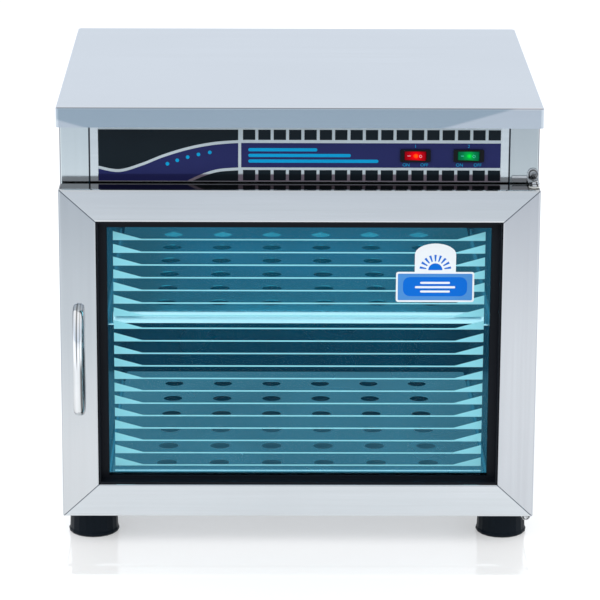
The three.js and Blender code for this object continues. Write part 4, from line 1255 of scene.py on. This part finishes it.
def addHingeScrews(plan):
    low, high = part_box("top_bracket_screw")
    height = plan["fixingHeight"]
    fixing = makeCrossScrew((high.x - low.x) / 2, height, plan["fixingShank"], crossScrew)
    place = ((low.x + high.x) / 2, low.y + height, (low.z + high.z) / 2)
    standScrew(fixing, place, forward, plan["fixingSpin"])
    settle(fixing, "topBracketScrewHead", "darkScrew", "cabinet")
    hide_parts("top_bracket_screw")
    height = plan["pivotHeight"]
    for end, turn in (("top", upward), ("bottom", downward)):
        node = end + "_pivot_screw"
        low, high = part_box(node)
        pivot = makeCrossScrew((high.x - low.x) / 2, height, high.z - low.z - height, crossScrew)
        z = high.z - height if end == "top" else low.z + height
        standScrew(pivot, ((low.x + high.x) / 2, (low.y + high.y) / 2, z), turn, plan["pivotSpin"])
        settle(pivot, end + "PivotScrewHead", "hingePlate", "cabinet")
        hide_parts(node)


addHingeScrews(hingeScrews)

rearScrews = {
    "radius": 3.6 * mm,
    "height": 2.0 * mm,
    "shank": 0.4 * mm,
    "spin": 0.7,
    "places": [(-234, 70), (-234, 240), (-234, 408), (234, 70), (234, 240), (234, 408), (-120, 38.5),
               (0, 38.5), (120, 38.5)],
}


def addRearScrews(plan):
    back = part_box("back_panel")[1].y
    pattern = makeCrossScrew(plan["radius"], plan["height"], plan["shank"], crossScrew)
    screws = []
    for i, (x, z) in enumerate(plan["places"]):
        screws.append(standScrew(copyOf(pattern), (x * mm, back, z * mm), backward, i * plan["spin"]))
    bpy.data.objects.remove(pattern)
    settle(joinAll(screws), "rearPanelScrews", "zincPlate", "cabinet")


addRearScrews(rearScrews)
print("screws done")


# Plain sticker on the glass

sticker = {
    "left": 99 * mm,
    "right": 179 * mm,
    "low": 259.5 * mm,
    "shoulder": 291.5 * mm,
    "high": 321.5 * mm,
    "tabHalf": 21 * mm,
    "tabRoundShare": 0.55,
    "corner": 2.4 * mm,
    "border": 1.9 * mm,
    "film": 0.1 * mm,
    "lift": 0.13 * mm,
    "firstSink": 0.02 * mm,
    "sink": 0.01 * mm,
    "arcSteps": 16,
    "sunRadius": 7.2 * mm,
    "rays": 9,
    "rayCorners": ((1.3, -0.06), (2.25, -0.075), (2.25, 0.075), (1.3, 0.06)),
    "bandInsetShare": 0.07,
    "bandRise": 4.4 * mm,
    "bandDrop": 3.6 * mm,
    "bandCorner": 7 * mm,
    "barShares": (0.2, 0.27, 0.2),
    "barRise": 8.2 * mm,
    "barPitch": 4.6 * mm,
    "barHeight": 2.2 * mm,
    "barCorner": 1.05 * mm,
}


def cardOutline(plan):
    # a plain card with a tab that stands on its middle and is round at the top
    left, right, shoulder, half = plan["left"], plan["right"], plan["shoulder"], plan["tabHalf"]
    middle, tall = (left + right) / 2, half * plan["tabRoundShare"]
    body = roundedOutline(left, right, plan["low"], shoulder, plan["corner"], 4)
    start = len(body) // 2
    arc = arcOutline(middle, plan["high"] - tall, half, tall, 180, plan["arcSteps"])
    return [*body[:start], (middle + half, shoulder), *arc, (middle - half, shoulder), *body[start:]]


def rayOutline(plan, middle, base, ray):
    radius, angle = plan["sunRadius"], math.pi * (ray + 0.5) / plan["rays"]
    corners = []
    for reach, spread in plan["rayCorners"]:
        turn = angle + spread
        corners.append((middle + radius * reach * math.cos(turn), base + radius * reach * math.sin(turn)))
    return corners[::-1]


def addSticker(plan):
    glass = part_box("door_glass")[0].y - plan["lift"]
    film, border, half = plan["film"], plan["border"], plan["film"] / 2
    middle, shoulder = (plan["left"] + plan["right"]) / 2, plan["shoulder"]
    left, right, low = plan["left"] + border, plan["right"] - border, plan["low"] + border
    addPrint("stickerCard", "whiteInk", "door", glass, film, [cardOutline(plan)])
    layer = glass - film + plan["firstSink"]
    field = roundedOutline(left, right, low, shoulder - border, plan["corner"] / 2)
    addPrint("stickerPaleField", "paleBlueInk", "door", layer, half, [field])
    # a half sun with its rays on the tab, and a band on the field
    layer -= half - plan["sink"]
    base, radius, wide = shoulder + border, plan["sunRadius"], right - left
    inset = wide * plan["bandInsetShare"]
    sun = arcOutline(middle, base, radius, radius, 180, plan["arcSteps"])
    rays = [rayOutline(plan, middle, base, ray) for ray in range(plan["rays"])]
    band = roundedOutline(left + inset, right - inset, low + plan["bandRise"],
                          shoulder - border - plan["bandDrop"], plan["bandCorner"])
    addPrint("stickerBlueShapes", "blueInk", "door", layer, half, [sun, *rays, band])
    layer -= half - plan["sink"]
    bars = []
    for row, share in enumerate(plan["barShares"]):
        z, reach = low + plan["barRise"] + row * plan["barPitch"], wide * share
        bars.append(roundedOutline(middle - reach, middle + reach, z, z + plan["barHeight"],
                                   plan["barCorner"]))
    addPrint("stickerWhiteBars", "whiteInk", "door", layer, half, bars)


addSticker(sticker)
print("sticker done")


# Floor, lights and camera

studio = {
    "floorSize": 30,
    "floorDrop": 0.2 * mm,
    "floorNear": (0.705, 0.705, 0.705),
    "floorFar": (0.235, 0.268, 0.31),
    "floorFade": (-0.75, -2.4),
    "floorShader": {
        "Emission Strength": 0.62,
        "Roughness": 0.05,
        "Specular IOR Level": 0.8,
        "Coat Weight": 0.9,
        "Coat Roughness": 0.06,
    },
    "worldHigh": (1.0, 1.0, 1.0),
    "worldLow": (0.76, 0.83, 0.92),
    "worldRise": 0.8,
    "worldStrength": 0.95,
}

softPanels = {
    "keyPanel": {"place": (-1.6, -2.2, 2.6), "target": (0, 0, 0.2), "size": (1.8, 1.8), "energy": 38},
    "fillPanel": {"place": (2.4, -1.2, 1.8), "target": (0, 0, 0.2), "size": (1.6, 1.6), "energy": 16},
    "backPanel": {"place": (0.3, 2.6, 2.4), "target": (0, 0, 0.3), "size": (2.4, 1.2), "energy": 22},
}

chamberGlow = {
    "drop": 2 * mm,
    "size": (0.30, 0.03),
    "energy": 0.12,
    "colour": (0.02, 0.74, 0.9),
}

cameraView = {
    "place": (-0.0326, -3.3211, 1.1686),
    "turn": (1.28999, -0.0048, -0.00931),
    "lens": 192,
}


def addFloor(plan):
    floor = addPrimitive(bpy.ops.mesh.primitive_plane_add, size=plan["floorSize"],
                         location=(0, 0, -plan["floorDrop"]))
    floor.name = "studioFloor"
    material, tree, shader = newMaterial("studioFloor")
    fade = axisMask(tree, "Y", *plan["floorFade"])
    mixed = mixColours(tree, fade, plan["floorNear"], plan["floorFar"])
    feed(tree, shader, {"Base Color": mixed, "Emission Color": mixed, **plan["floorShader"]})
    floor.data.materials.append(material)


def addWorld(plan):
    world = bpy.data.worlds.new("studioWorld")
    bpy.context.scene.world = world
    world.use_nodes = True
    tree = world.node_tree
    place = tree.nodes.new("ShaderNodeTexCoord").outputs["Generated"]
    height = addNode(tree, "SeparateXYZ", {0: place}).outputs["Z"]
    rise = spreadOut(tree, height, 0, plan["worldRise"], kind="LINEAR")
    mixed = mixColours(tree, rise, plan["worldLow"], plan["worldHigh"])
    feed(tree, tree.nodes["Background"], {"Color": mixed, "Strength": plan["worldStrength"]})


def addArea(name, place, target, size, energy, colour=(1, 1, 1)):
    light = addPrimitive(bpy.ops.object.light_add, type="AREA", location=place)
    light.name = name
    light.data.shape = "RECTANGLE"
    light.data.size, light.data.size_y = size
    light.data.energy = energy
    light.data.color = colour
    light.rotation_euler = (Vector(target) - Vector(place)).to_track_quat("-Z", "Y").to_euler()
    return light


def addLights():
    for name, look in softPanels.items():
        panel = addArea(name, **look)
        panel.visible_glossy = False  # the panels stay out of the mirrors of the steel
    low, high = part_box("uv_lamp")
    x, y = (low.x + high.x) / 2, (low.y + high.y) / 2
    addArea("chamberGlow", (x, y, low.z - chamberGlow["drop"]), (x, y, 0), chamberGlow["size"],
            chamberGlow["energy"], chamberGlow["colour"])


def addCamera(plan):
    camera = addPrimitive(bpy.ops.object.camera_add, location=plan["place"], rotation=plan["turn"])
    camera.data.lens = plan["lens"]
    bpy.context.scene.camera = camera


addFloor(studio)
addWorld(studio)
addLights()
addCamera(cameraView)
bpy.context.scene.view_settings.view_transform = "Standard"
print("studio done")
